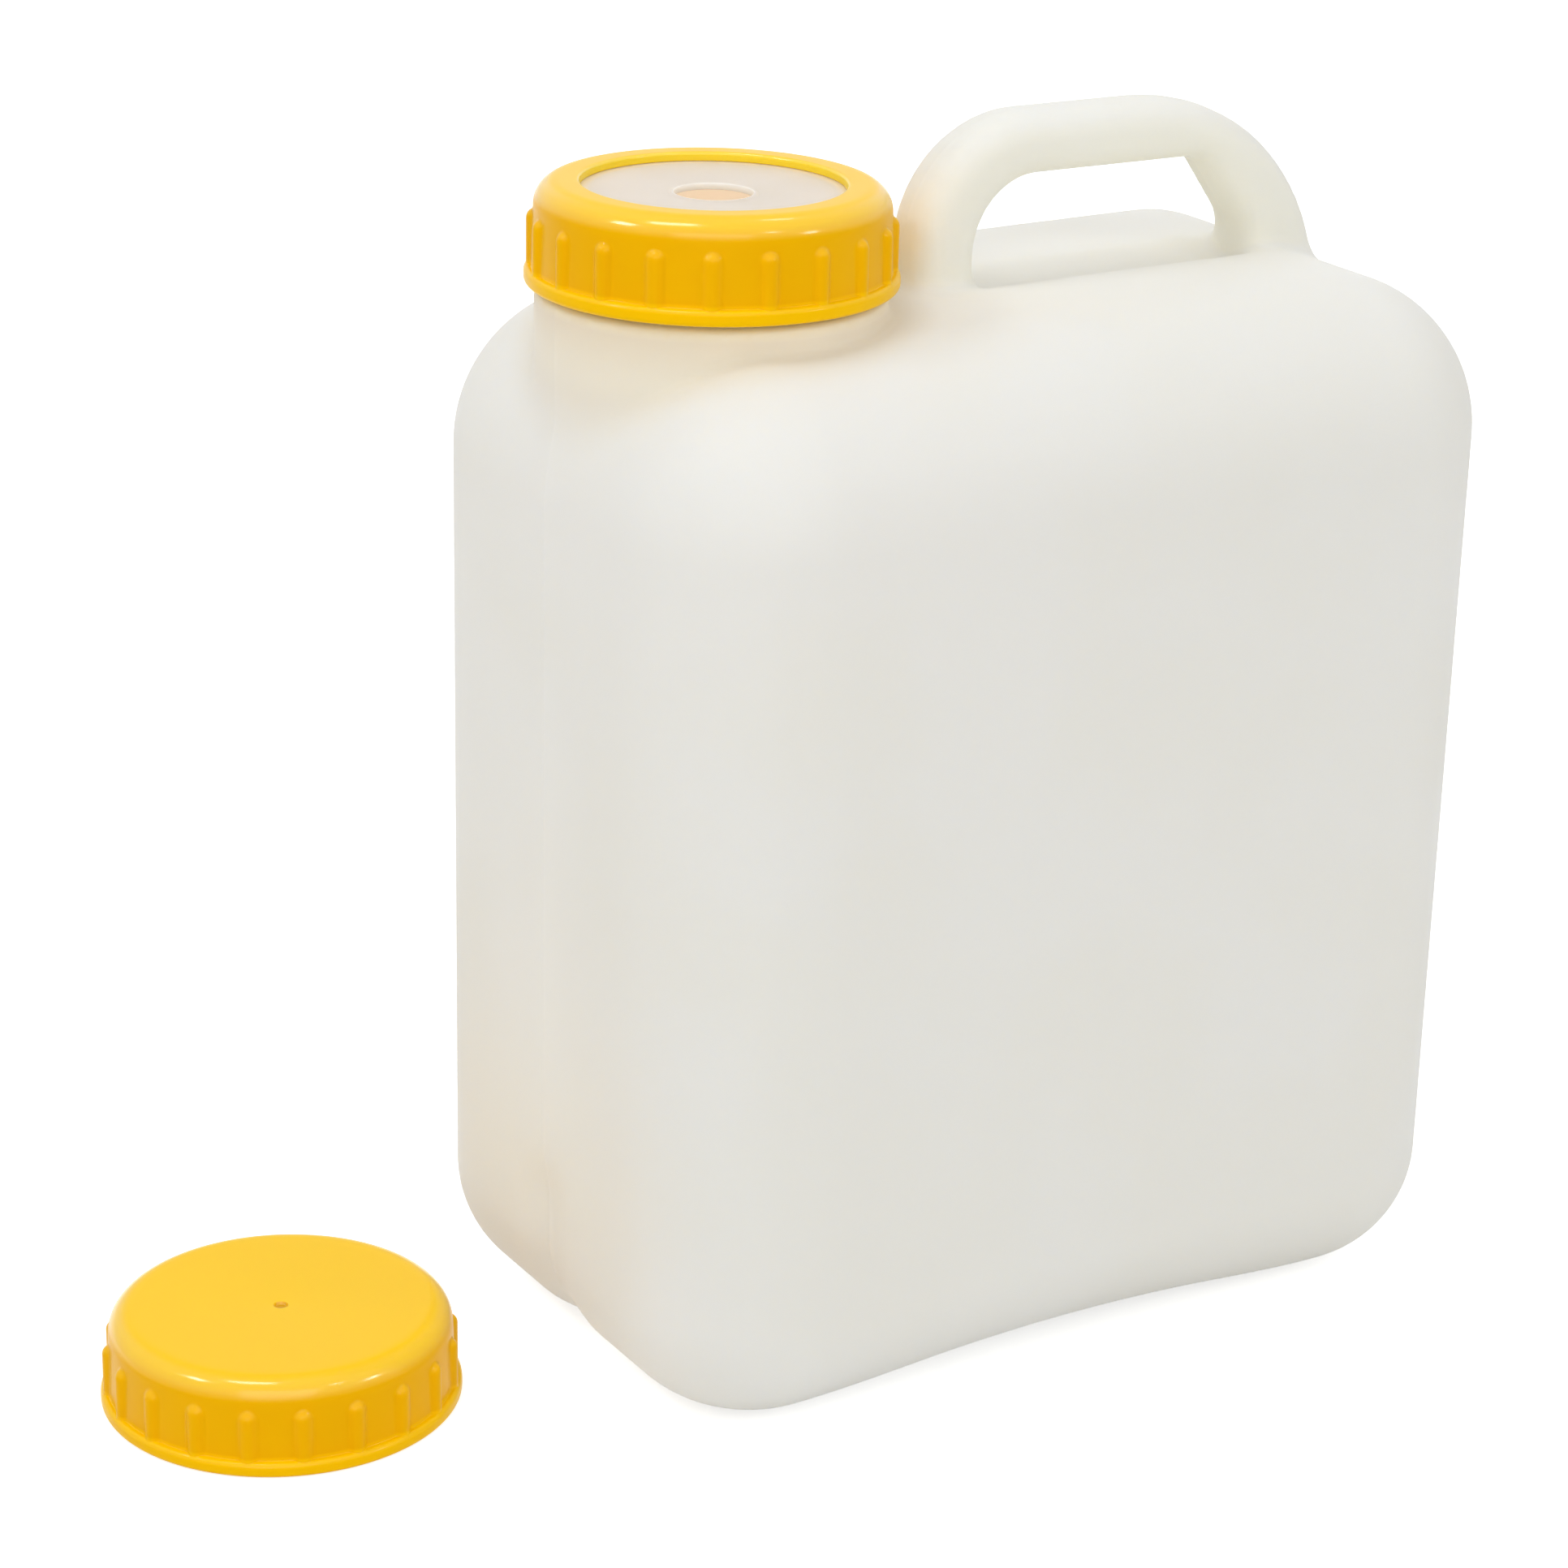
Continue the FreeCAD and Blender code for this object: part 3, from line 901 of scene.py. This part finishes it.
@dataclass
class CanBody:
    """Blow-moulded can with its collar, threaded neck and hollow handle, as one closed skin."""

    finish: MilkyPlastic
    seam: float = 0.25              # height of the parting line
    seam_width: float = 0.7
    pinch: float = 0.45             # height of the pinched weld in the groove
    pinch_top: float = 14.0         # where the weld ends, over the groove's end
    pinch_fade: float = 12.0
    wall: float = 2.0
    shoulder_height: float = 323.0
    corner_radius: float = 45.0
    shoulder_radius: float = 47.0
    foot_radius: float = 39.4
    arch_height: float = 4.6
    arch_span: float = 160.0
    arch_fade: float = 2.4
    crown_start: float = 60.0       # place along the can where the shoulder starts to fall
    crown_slope: float = 0.022      # fall of the shoulder towards the neck, per millimetre
    crown_fade: float = 2.0
    channel_radius: float = 18.0
    channel_depth: float = 1.4
    channel_rise: float = 13.0
    channel_round: float = 7.0
    trough_radius: float = 14.0
    trough_depth: float = 5.5
    cut_round: float = 4.0
    ring_gap: float = 1.5           # between the collar's ledge and the ring
    collar_radius: float = 50.5
    collar_round: float = 2.5
    collar_foot: float = 285.0
    neck_radius: float = 46.0
    neck_bore: float = 43.5
    neck_fillet: float = 3.5
    neck_columns: int = 300
    rim_round: float = 0.8
    plug_depth: float = 1.2         # of the solid neck in the collar
    bore_depth: float = 12.0        # of the bore below the ledge
    bore_over: float = 6.0          # how far its cutter stands over the rim
    handle_gap: float = 10.5        # between the ring's flange and the handle
    handle_length: float = 149.0
    handle_width: float = 23.0
    handle_round: float = 8.5
    handle_fillet: float = 5.5
    grip_thickness: float = 18.5
    leg_depth: float = 21.0         # of the legs in the shoulder
    neck_leg: float = 21.0
    neck_bend: Span = (40.0, 22.0)  # outside and inside
    end_bend: float = 67.0
    end_corner: float = 8.5
    end_leg: float = 30.5
    end_knee: float = 12.0
    end_lean: float = 36.0          # degrees from upright
    end_reach: float = 15.7
    outside_grid: Span = (1.9, 3.6)     # between points at the top and down the sides
    inside_grid: Span = (4.0, 7.0)
    seam_lines: tuple[float, ...] = (0.25, 0.7, 1.2)    # grid lines beside the parting plane
    crease: float = 50.0            # degrees, past which an edge is drawn sharp
    thread: Thread = Thread(start=336.0, turns=2.25)

    def __post_init__(self) -> None:
        """Takes from the frame what other pieces settle, and works out what follows."""
        high, ring_high = node_box("can_body")[1], node_box("screw_ring")[1]
        self.half_length = high[0] - self.seam
        self.half_width = high[1]
        self.handle_top = high[2] - self.seam
        *neck, self.rim = node_foot("neck_seal")
        self.axis = np.array([*neck, 0.0])
        self.ledge = node_foot("screw_ring")[2] - self.ring_gap
        self.handle_start = ring_high[0] + self.handle_gap
        self.end_inner = self.handle_start + self.handle_length - self.end_leg
        self.weld_top = self.foot_radius + self.channel_rise + self.pinch_top
        self.handle_side = self.handle_outline()

    def handle_outline(self) -> Outline:
        """Side view of the handle, with both legs run down into the shoulder.

        Returns:
            The outline, of places along the can and heights.
        """
        foot = self.shoulder_height - self.leg_depth
        ceiling = self.handle_top - self.grip_thickness
        corner = self.end_inner - self.end_reach
        knee = ceiling - self.end_reach / math.tan(math.radians(self.end_lean))
        start, end = self.handle_start, self.handle_start + self.handle_length
        inner = start + self.neck_leg
        return Outline(((start, foot, 0), (inner, foot, 0), (inner, ceiling, self.neck_bend[1]),
                        (corner, ceiling, self.end_corner), (self.end_inner, knee, self.end_knee),
                        (self.end_inner, foot, 0), (end, foot, 0),
                        (end, self.handle_top, self.end_bend),
                        (start, self.handle_top, self.neck_bend[0])))

    def block(self, x: Array, y: Array, z: Array) -> Array:
        """Rounded block: a round-cornered rectangle whose top and bottom edges are rounded.

        Args:
            x, y, z: Coordinates of matching shapes.

        Returns:
            Signed distance, negative inside.
        """
        side = rounded_edge(np.abs(x) - self.half_length, np.abs(y) - self.half_width,
                            self.corner_radius)
        top = rounded_edge(side, z - self.shoulder_height + self.fall(x), self.shoulder_radius)
        foot = rounded_edge(side, self.lift(x) - z, self.foot_radius)
        return np.where(z > self.shoulder_height / 2, top, foot)

    def lift(self, x: Array) -> Array:
        """Height of the base over the floor: a shallow arch between the feet, with soft ends."""
        rise = self.arch_height * (1 - (2 * x / self.arch_span) ** 2)
        return smooth_greater(rise, 0 * x, self.arch_fade)

    def fall(self, x: Array) -> Array:
        """How far the shoulder lies below its highest level: a gentle slope towards the neck."""
        return smooth_greater(self.crown_slope * (self.crown_start - x), 0 * x, self.crown_fade)

    def channel(self, x: Array, y: Array, z: Array) -> Array:
        """Round groove that follows the base and climbs both ends: a tube about a path of a level
        line, a quarter circle and an upright line that ends in a ball.

        Args:
            x, y, z: Coordinates of matching shapes.

        Returns:
            Signed distance, negative inside.
        """
        reach = self.channel_radius - self.channel_depth
        past = np.abs(x) - (self.half_length - self.foot_radius)
        rise = z - self.foot_radius
        level = z - self.lift(x) + reach
        bend = self.foot_radius + reach - np.hypot(past, rise)
        upright = self.foot_radius + reach - past
        off = np.where(rise < 0, np.where(past < 0, level, bend), upright)
        over = np.maximum(rise - self.channel_rise, 0)
        return np.sqrt(off ** 2 + y ** 2 + over ** 2) - self.channel_radius

    def trough(self, x: Array, y: Array, z: Array) -> Array:
        """Round groove in the shoulder under the grip, with soft ends inside the legs.

        Args:
            x, y, z: Coordinates of matching shapes.

        Returns:
            Signed distance, negative inside.
        """
        middle = (self.handle_start + self.end_inner + self.neck_leg) / 2
        half = (self.end_inner - self.handle_start) / 2
        height = self.shoulder_height + self.trough_radius - self.trough_depth
        tube = np.hypot(y, z - height) - self.trough_radius
        return rounded_edge(tube, np.abs(x - middle) - half, self.cut_round)

    def collar(self, x: Array, y: Array, z: Array) -> Array:
        """Upright cylinder with a rounded ledge, let down into the shoulder."""
        side = np.hypot(x - self.axis[0], y - self.axis[1]) - self.collar_radius
        return np.maximum(rounded_edge(side, z - self.ledge, self.collar_round),
                          self.collar_foot - z)

    def handle(self, x: Array, y: Array, z: Array) -> Array:
        """Side view carried across the width, with rounded long edges."""
        side, half = self.handle_side.distance(x, z), self.handle_width / 2
        return rounded_edge(side, np.abs(y) - half, self.handle_round)

    def bead(self, y: Array, z: Array) -> Array:
        """Height of the parting line, and low down of the pinched weld: a bell curve of y."""
        low = np.clip((self.weld_top - z) / self.pinch_fade, 0, 1)
        return (self.seam + (self.pinch - self.seam) * low) * np.exp(-(y / self.seam_width) ** 2)

    def form(self, x: Array, y: Array, z: Array) -> Array:
        """Can's outside: block less groove and trough, joined softly to the collar and the
        handle, with a fine bead along the parting plane.

        Args:
            x, y, z: Coordinates of matching shapes.

        Returns:
            Signed distance, negative inside.
        """
        shape = smooth_greater(self.block(x, y, z), -self.channel(x, y, z), self.channel_round)
        shape = smooth_greater(shape, -self.trough(x, y, z), self.cut_round)
        shape = smooth_union(shape, self.collar(x, y, z), self.neck_fillet)
        return smooth_union(shape, self.handle(x, y, z), self.handle_fillet) - self.bead(y, z)

    def smooth_form(self, x: Array, y: Array, z: Array) -> Array:
        """Signed distance to the same without its bead, for the inside."""
        return self.form(x, y, z) + self.bead(y, z)

    def grid(self, fine: float, coarse: float, seam: bool) -> tuple[Array, Array, Array]:
        """Grid coordinates: fine round the shoulder and handle, coarse down the sides, and
        closest at the parting plane.

        Args:
            fine: Spacing at the top.
            coarse: Spacing down the sides.
            seam: Whether to crowd lines at the parting plane.

        Returns:
            Coordinates along x, y and z, which reach a few spacings past the can.
        """
        level = (fine + coarse) / 2
        x = np.arange(-self.half_length - 2.6 * level, self.half_length + 3 * level, level)
        close = np.array(self.seam_lines) if seam else np.zeros(0)
        start = close[-1] + level if seam else level / 2
        half = np.concatenate([close, np.arange(start, self.half_width + 3 * level, level)])
        y = np.concatenate([-half[::-1], half])
        low = np.arange(-1.7 * level, self.foot_radius + level, level)
        sides = np.arange(low[-1] + coarse, self.shoulder_height - self.shoulder_radius, coarse)
        top = np.arange(sides[-1] + fine, self.handle_top + 3 * fine, fine)
        return x, y, np.concatenate([low, sides, top])

    def neck_plug(self) -> Mesh:
        """Solid neck with the outside thread, from inside the collar to the rim.

        Returns:
            The closed mesh.
        """
        foot, radius = self.ledge - self.plug_depth, self.neck_radius
        path = Outline(((0, foot, 0), (radius, foot, 0.3), (radius, self.rim, self.rim_round),
                        (0, self.rim, 0)))
        rows = rows_along(path.points(closed=False), lambda p: np.where(p[:, 0] < 40, 8.0, 0.42))
        angles = round_angles(self.neck_columns)
        on_wall = rows[:, :1] > radius - 0.02
        reach = rows[:, :1] + np.where(on_wall, self.thread.ridge(angles, rows[:, 1]), 0)
        return turned_mesh("neck_plug", reach, rows[:, 1], angles, self.axis, closed=False)

    def bore_plug(self) -> Mesh:
        """Cutter for the neck's bore, flared at the rim so that its edge is rounded.

        Returns:
            The closed mesh.
        """
        foot, over = self.ledge - self.bore_depth, self.rim + self.bore_over
        flare = self.neck_bore + self.rim_round
        turns = np.linspace(0, math.pi / 2, 7)
        lip = np.column_stack([flare - self.rim_round * np.cos(turns),
                               self.rim - self.rim_round + self.rim_round * np.sin(turns)])
        path = np.vstack([[[0, foot], [self.neck_bore, foot]], lip, [[flare, over], [0, over]]])
        rows = rows_along(path, lambda p: np.full(len(p), 3.0))
        return turned_mesh("bore_plug", rows[:, :1], rows[:, 1], round_angles(self.neck_columns),
                           self.axis, closed=False)

    def faces_inside(self, mesh: Mesh) -> Array:
        """Which faces lie inside the can: those a good part of the wall below the outside form,
        or within the neck's bore.

        Args:
            mesh: The can's mesh.

        Returns:
            For each face, whether it does.
        """
        centres = np.empty(3 * len(mesh.polygons), np.float32)
        mesh.polygons.foreach_get("center", centres)
        x, y, z = centres.reshape(-1, 3).T.astype(float) / MM
        in_bore = np.hypot(x - self.axis[0], y - self.axis[1]) < self.neck_bore + 0.2
        in_bore &= z > self.ledge - 10
        return in_bore | (self.form(x, y, z) < -self.wall / 2)

    def build(self) -> Object:
        """Builds the can: outside skin and neck, less the inside skin and the bore.

        Returns:
            The can's object.
        """
        outside = skin_mesh("outside", self.form, 0.0, self.grid(*self.outside_grid, seam=True))
        outside = joined("outside", outside, self.neck_plug(), Join.UNION)
        inside = skin_mesh("inside", self.smooth_form, -self.wall,
                           self.grid(*self.inside_grid, seam=False))
        inside = joined("inside", inside, self.bore_plug(), Join.UNION)
        mesh = joined("can_skin", outside, inside, Join.DIFFERENCE)
        mesh.shade_smooth()
        mesh.set_sharp_from_angle(angle=math.radians(self.crease))
        ledge = self.axis + [0, 0, self.ledge]
        finishes = [self.finish.material(ledge, self.collar_radius, self.half_length, inside)
                    for inside in (False, True)]
        piece = stand_in(mesh, "can_body", "can", "can_plastic", *finishes)
        mesh.polygons.foreach_set("material_index", self.faces_inside(mesh).astype(np.int32))
        return piece


# ---------------- caps

class CapKind(Enum):
    """What closes the top of a cap."""

    RING = "open for a disc"
    CLOSED = "closed"


@dataclass
class ScrewCap:
    """Ribbed cap with an inside thread and a bead round its foot."""

    node: str
    body: str
    kind: CapKind
    finish: GlossyPlastic
    rib_turn: float                 # degrees from +X to a rib
    height: float = 29.3
    wall: float = 2.95
    inner_radius: float = 48.35
    top_round: float = 7.3
    lip: float = 2.6
    draft: float = 0.7              # how much narrower the wall is at the top
    flange_height: float = 4.6
    flange_reach: float = 2.2
    flange_root: float = 0.4        # rounding between the flange and the wall
    bead_round: float = 1.6
    opening: float = 37.75
    opening_round: float = 1.0
    opening_edge: float = 0.2       # rounding of the lip's lower edge
    inner_round: float = 2.35
    foot_round: float = 0.5
    rib_count: int = 20
    rib_radius: float = 3.0
    rib_proud: float = 1.5
    rib_top: float = 20.4
    rib_fillet: float = 0.35
    dimple_radius: float = 2.2
    dimple_depth: float = 1.0
    dimple_lean: float = 0.4
    dimple_round: float = 0.3
    dimple_edge: float = 0.9        # between the dimple's radius and that of its painted shade
    dish: float = 0.8               # how far the closed top sinks towards its middle
    columns: int = 500
    crowding: float = 0.55          # how strongly the columns crowd at the ribs, below 1
    thread: Thread = Thread(start=3.5, turns=1.25)

    def __post_init__(self) -> None:
        """Works out the wall's outside."""
        self.outer = self.inner_radius + self.wall

    def profile(self) -> Array:
        """Section of the wall, from the inside over the foot and the bead to the top.

        Returns:
            Rows of (radius, height), of which the ring's end where they start.
        """
        outer, flange = self.outer, self.outer + self.flange_reach
        ceiling = self.height - self.lip
        skirt = ((self.inner_radius, 0.0, self.foot_round), (flange, 0.0, self.bead_round),
                 (flange, self.flange_height, self.bead_round),
                 (outer, self.flange_height, self.flange_root),
                 (outer - self.draft, self.height, self.top_round))
        corner = (self.inner_radius, ceiling, self.inner_round)
        if self.kind is CapKind.RING:
            lip = ((self.opening, self.height, self.opening_round),
                   (self.opening, ceiling, self.opening_edge))
            path = Outline(skirt + lip + (corner,)).points()
            return np.vstack([path, path[:1]])
        middle = self.height - self.dish
        floor = middle - self.dimple_depth
        dimple = ((self.dimple_radius, middle, self.dimple_round),
                  (self.dimple_radius - self.dimple_lean, floor, self.dimple_round),
                  (0.0, floor, 0.0))
        return Outline(((0.0, ceiling, 0.0), corner) + skirt + dimple).points(closed=False)

    def spacing(self, points: Array) -> Array:
        """Distance between rows: close along the ribs and the thread, wide on the flat top.

        Args:
            points: Rows of (radius, height).

        Returns:
            The distance at each point.
        """
        radius, height = points.T
        on_ribs = (radius > self.outer - 1.0) & (height < self.rib_top + 1)
        on_thread = (radius < self.inner_radius + 0.1) & (radius > self.inner_radius - 0.1)
        in_dimple = radius < self.dimple_radius + 0.4
        in_dimple &= height > self.height - self.lip / 2 - 0.1
        wide = np.where(in_dimple, 0.4, np.where(radius < self.opening - 1, 4.0, 1.3))
        return np.where(on_ribs, 0.6, np.where(on_thread, 0.45, wide))

    def rib_reach(self, angles: Array, heights: Array) -> Array:
        """Radius reached by the ribs: each is an upright round bar that ends in a ball, and its
        far side along a ray is the ray's place on the bar's circle.

        Args:
            angles: Angles of the columns.
            heights: Heights of the rows.

        Returns:
            Radii by row and column, 0 beside the ribs.
        """
        centre = self.outer + self.rib_proud - self.rib_radius
        pitch = FULL_TURN / self.rib_count
        off = (angles - math.radians(self.rib_turn) + pitch / 2) % pitch - pitch / 2
        above = np.maximum(heights - (self.rib_top - self.rib_radius), 0)[:, None]
        room = self.rib_radius ** 2 - above ** 2 - (centre * np.sin(off))[None, :] ** 2
        return np.where(room > 0, centre * np.cos(off) + np.sqrt(np.maximum(room, 0)), 0)

    def column_angles(self) -> Array:
        """Angles of the columns, crowded at the ribs by a sine of the rib pitch.

        Returns:
            The angles.
        """
        even = round_angles(self.columns)
        phase = self.rib_count * (even - math.radians(self.rib_turn))
        return even - self.crowding * np.sin(phase) / self.rib_count

    def material(self) -> Material:
        """Builds the cap's material, with painted light on the wall of the opening, or
        painted shade in the dimple.

        Returns:
            The material.
        """
        if self.kind is CapKind.RING:
            # The ring's opening gets painted light on its wall.
            return self.finish.material("cap_plastic_ring", self, self.opening, self.finish.painted_lip_light)
        return self.finish.material("cap_plastic", self, self.dimple_radius - self.dimple_edge,
                                    self.finish.painted_pit_shade)

    def build(self) -> Object:
        """Builds the cap: its profile turned, with ribs laid on outside and the thread inside.

        Returns:
            The cap's object.
        """
        closed = self.kind is CapKind.RING
        rows = rows_along(self.profile(), self.spacing)
        rows = rows[:-1] if closed else rows
        angles, radius, height = self.column_angles(), rows[:, :1], rows[:, 1]
        on_ribs = (radius > self.outer - 1.0) & (height[:, None] > self.flange_height / 2)
        on_thread = np.abs(radius - self.inner_radius) < 0.05
        ribs = smooth_greater(radius, self.rib_reach(angles, height), self.rib_fillet)
        flat = smooth_greater(radius, 0 * radius, self.rib_fillet)
        ridge = self.thread.ridge(angles % FULL_TURN, height)
        radius = np.where(on_ribs, radius + np.maximum(ribs - flat, 0), radius)
        radius = radius - np.where(on_thread, ridge, 0)
        mesh = turned_mesh(self.node + "_skin", radius, height, angles, node_foot(self.node),
                           closed)
        return stand_in(mesh, self.node, self.body, "cap_plastic", self.material())


# ---------------- disc and seals

@dataclass
class InsertDisc:
    """Disc clamped by the ring's lip: a plate that sags a little from where it is clamped and
    thins towards its bore, with a low rim round the bore."""

    finish: FrostedPlastic
    bore: float = 11.25
    radius: float = 45.7
    thickness: float = 2.5
    clamped: float = 40.0
    clamped_bend: float = 30.0
    sag: float = 1.0
    thinned: float = 0.8
    rim_width: float = 1.6
    rim_slope: float = 0.9          # width of the rim's outer slope
    rim_height: float = 0.4
    rim_rounds: tuple[float, ...] = (0.8, 0.6, 0.4)     # foot, crown and bore
    edge: float = 0.3

    def build(self) -> Object:
        """Builds the disc.

        Returns:
            The disc's object.
        """
        rim, top = self.bore + self.rim_width, self.thickness - self.sag
        crown = top + self.rim_height
        foot_round, crown_round, bore_round = self.rim_rounds
        section = Outline(((self.bore, self.thinned - self.sag, self.edge),
                           (self.clamped, 0, self.clamped_bend), (self.radius, 0, self.edge),
                           (self.radius, self.thickness, self.edge),
                           (self.clamped, self.thickness, self.clamped_bend),
                           (rim, top, foot_round), (rim - self.rim_slope, crown, crown_round),
                           (self.bore, crown, bore_round)))
        finish = self.finish.material(node_foot("insert_disc"), self.bore, ScrewCap.opening)
        return turned_piece("insert_disc", "insert", "disc_plastic", section, finish)


@dataclass
class FlatSeal:
    """Flat rubber ring between a cap and what it closes on."""

    node: str
    body: str
    material: Material
    inner: float = 43.5
    outer: float = 45.7
    thickness: float = 1.5
    edge: float = 0.3

    def build(self) -> Object:
        """Builds the seal.

        Returns:
            The seal's object.
        """
        corners = ((self.inner, 0), (self.outer, 0), (self.outer, self.thickness),
                   (self.inner, self.thickness))
        section = Outline(tuple((*corner, self.edge) for corner in corners))
        return turned_piece(self.node, self.body, "seal_rubber", section, self.material)


# ---------------- studio

@dataclass(frozen=True)
class Lamp:
    """Oblong soft light that looks at a point, its length lying along a given direction. Its
    places and sizes are in metres."""

    name: str
    place: tuple[float, float, float]
    length: float
    width: float
    power: float
    along: tuple[float, float, float] = (0.82, -0.57, 0.0)
    target: tuple[float, float, float] = (-0.03, 0.0, 0.17)
    mirrored: bool = True                   # whether reflections show it

    def add(self) -> None:
        """Adds the lamp."""
        light = bpy.data.lights.new(self.name, "AREA")
        light.shape = "RECTANGLE"
        light.size, light.size_y = self.length, self.width
        light.energy = self.power
        holder = add_object(self.name, light)
        holder.visible_glossy = self.mirrored
        back = (Vector(self.place) - Vector(self.target)).normalized()
        across = back.cross(Vector(self.along)).normalized()
        turn = Matrix((across.cross(back), across, back)).transposed().to_4x4()
        holder.matrix_world = Matrix.Translation(self.place) @ turn


@dataclass
class Studio:
    """White floor, soft lamps and the camera."""

    lamps: tuple[Lamp, ...] = (
        Lamp("overhead", (-0.66, 0.0, 2.08), 0.6, 0.34, 5.3),
        Lamp("right", (1.9, -2.62, 1.83), 0.55, 0.42, 9.0, along=(0.81, 0.59, 0.0)),
        Lamp("left", (-1.53, 0.32, 1.75), 0.4, 0.3, 5.2, along=(0.2, 0.98, 0.0)),
        Lamp("front", (0.38, -1.9, 2.06), 0.3, 0.2, 1.5),
        Lamp("back", (0.77, 0.38, 2.19), 0.3, 0.2, 1.0),
        Lamp("fill", (-1.2, -1.9, 1.0), 2.0, 2.0, 14.0),
        Lamp("back_fill", (1.5, 1.8, 0.9), 2.0, 2.0, 9.0, mirrored=False),
    )
    horizon: float = 0.40           # light of the white room, level
    zenith: float = 0.76            # and from above
    floor_reach: float = 9000.0     # half of the floor's side, millimetres
    floor_gap: float = 0.05         # between the floor and the feet, millimetres
    floor_white: float = 0.8
    floor_glow: float = 0.62        # extra white of the floor as the camera sees it
    camera_place: tuple[float, float, float] = (-0.6854, -1.0083, 0.6133)   # metres
    camera_heading: float = 33.56   # degrees from +Y towards +X
    camera_drop: float = 20.75      # degrees below level
    camera_roll: float = 1.99       # degrees
    lens: float = 96.49
    shift: Span = (-0.0800, 0.0186)

    def add_camera(self) -> None:
        """Adds the camera: it looks along the heading, tipped down and rolled."""
        data = bpy.data.cameras.new("camera")
        data.lens, data.sensor_width = self.lens, 36.0
        data.shift_x, data.shift_y = self.shift
        data.clip_start, data.clip_end = 0.05, 40.0
        camera = add_object("camera", data)
        heading, drop, roll = (math.radians(angle) for angle in (
            self.camera_heading, self.camera_drop, self.camera_roll))
        forward = Vector((math.sin(heading) * math.cos(drop), math.cos(heading) * math.cos(drop),
                          -math.sin(drop)))
        level = Vector((math.cos(heading), -math.sin(heading), 0))
        upright = level.cross(forward)
        right = level * math.cos(roll) + upright * math.sin(roll)
        above = upright * math.cos(roll) - level * math.sin(roll)
        turn = Matrix((right, above, -forward)).transposed().to_4x4()
        camera.matrix_world = Matrix.Translation(self.camera_place) @ turn
        bpy.context.scene.camera = camera

    def add_world(self) -> None:
        """White room: full white to the camera and in reflections, softer as light, and softest
        from the level."""
        world = bpy.data.worlds.new("studio")
        bpy.context.scene.world = world
        tree = fresh_tree(world)
        up = tree.parts(tree.add("ShaderNodeTexCoord").outputs["Generated"])[2]
        soft = tree.fade(up, (0.0, 0.9), 0.0, self.horizon, self.zenith)
        light = tree.add("ShaderNodeBackground", {
            "Color": (1.0,) * 4, "Strength": tree.math("MAXIMUM", tree.seen_directly(), soft)})
        tree.add("ShaderNodeOutputWorld", {"Surface": light.outputs[0]})

    def add_floor(self) -> None:
        """White floor that shows white to the camera and keeps the shadow."""
        square = np.array([[-1, -1, 0], [1, -1, 0], [1, 1, 0], [-1, 1, 0]])
        mesh = put_mesh("floor", square * self.floor_reach - [0, 0, self.floor_gap],
                        np.arange(4)[None, :])
        material = bpy.data.materials.new("floor_white")
        tree = fresh_tree(material)
        matt = tree.add("ShaderNodeBsdfDiffuse", {"Color": (*(self.floor_white,) * 3, 1.0)})
        glow = tree.add("ShaderNodeEmission", {
            "Strength": tree.times(tree.seen_directly(), self.floor_glow)})
        both = tree.add("ShaderNodeAddShader", {0: matt.outputs[0], 1: glow.outputs[0]})
        tree.add("ShaderNodeOutputMaterial", {"Surface": both.outputs[0]})
        mesh.materials.append(material)
        add_object("floor", mesh)

    def build(self) -> None:
        """Sets up the room, the lamps and the camera."""
        bpy.context.scene.view_settings.view_transform = "Standard"
        self.add_world()
        self.add_floor()
        for lamp in self.lamps:
            lamp.add()
        self.add_camera()


def main() -> None:
    logging.basicConfig(level=logging.INFO, format="%(message)s")
    make_skin_group()
    make_scuff_group()
    yellow, rubber = GlossyPlastic(), SealRubber().material()
    builders = [
        CanBody(MilkyPlastic()),
        ScrewCap("screw_ring", "ring", CapKind.RING, yellow, rib_turn=5.4),
        ScrewCap("spare_cap", "spare_cap", CapKind.CLOSED, yellow, rib_turn=0.0),
        InsertDisc(FrostedPlastic()),
        FlatSeal("neck_seal", "insert", rubber),
        FlatSeal("spare_cap_seal", "spare_cap", rubber),
    ]
    for builder in builders:
        piece = builder.build()
        triangles = sum(len(face.vertices) - 2 for face in piece.data.polygons)
        log.info("%s: %d triangles", piece.name, triangles)
    Studio().build()


if __name__ == "__main__":
    main()
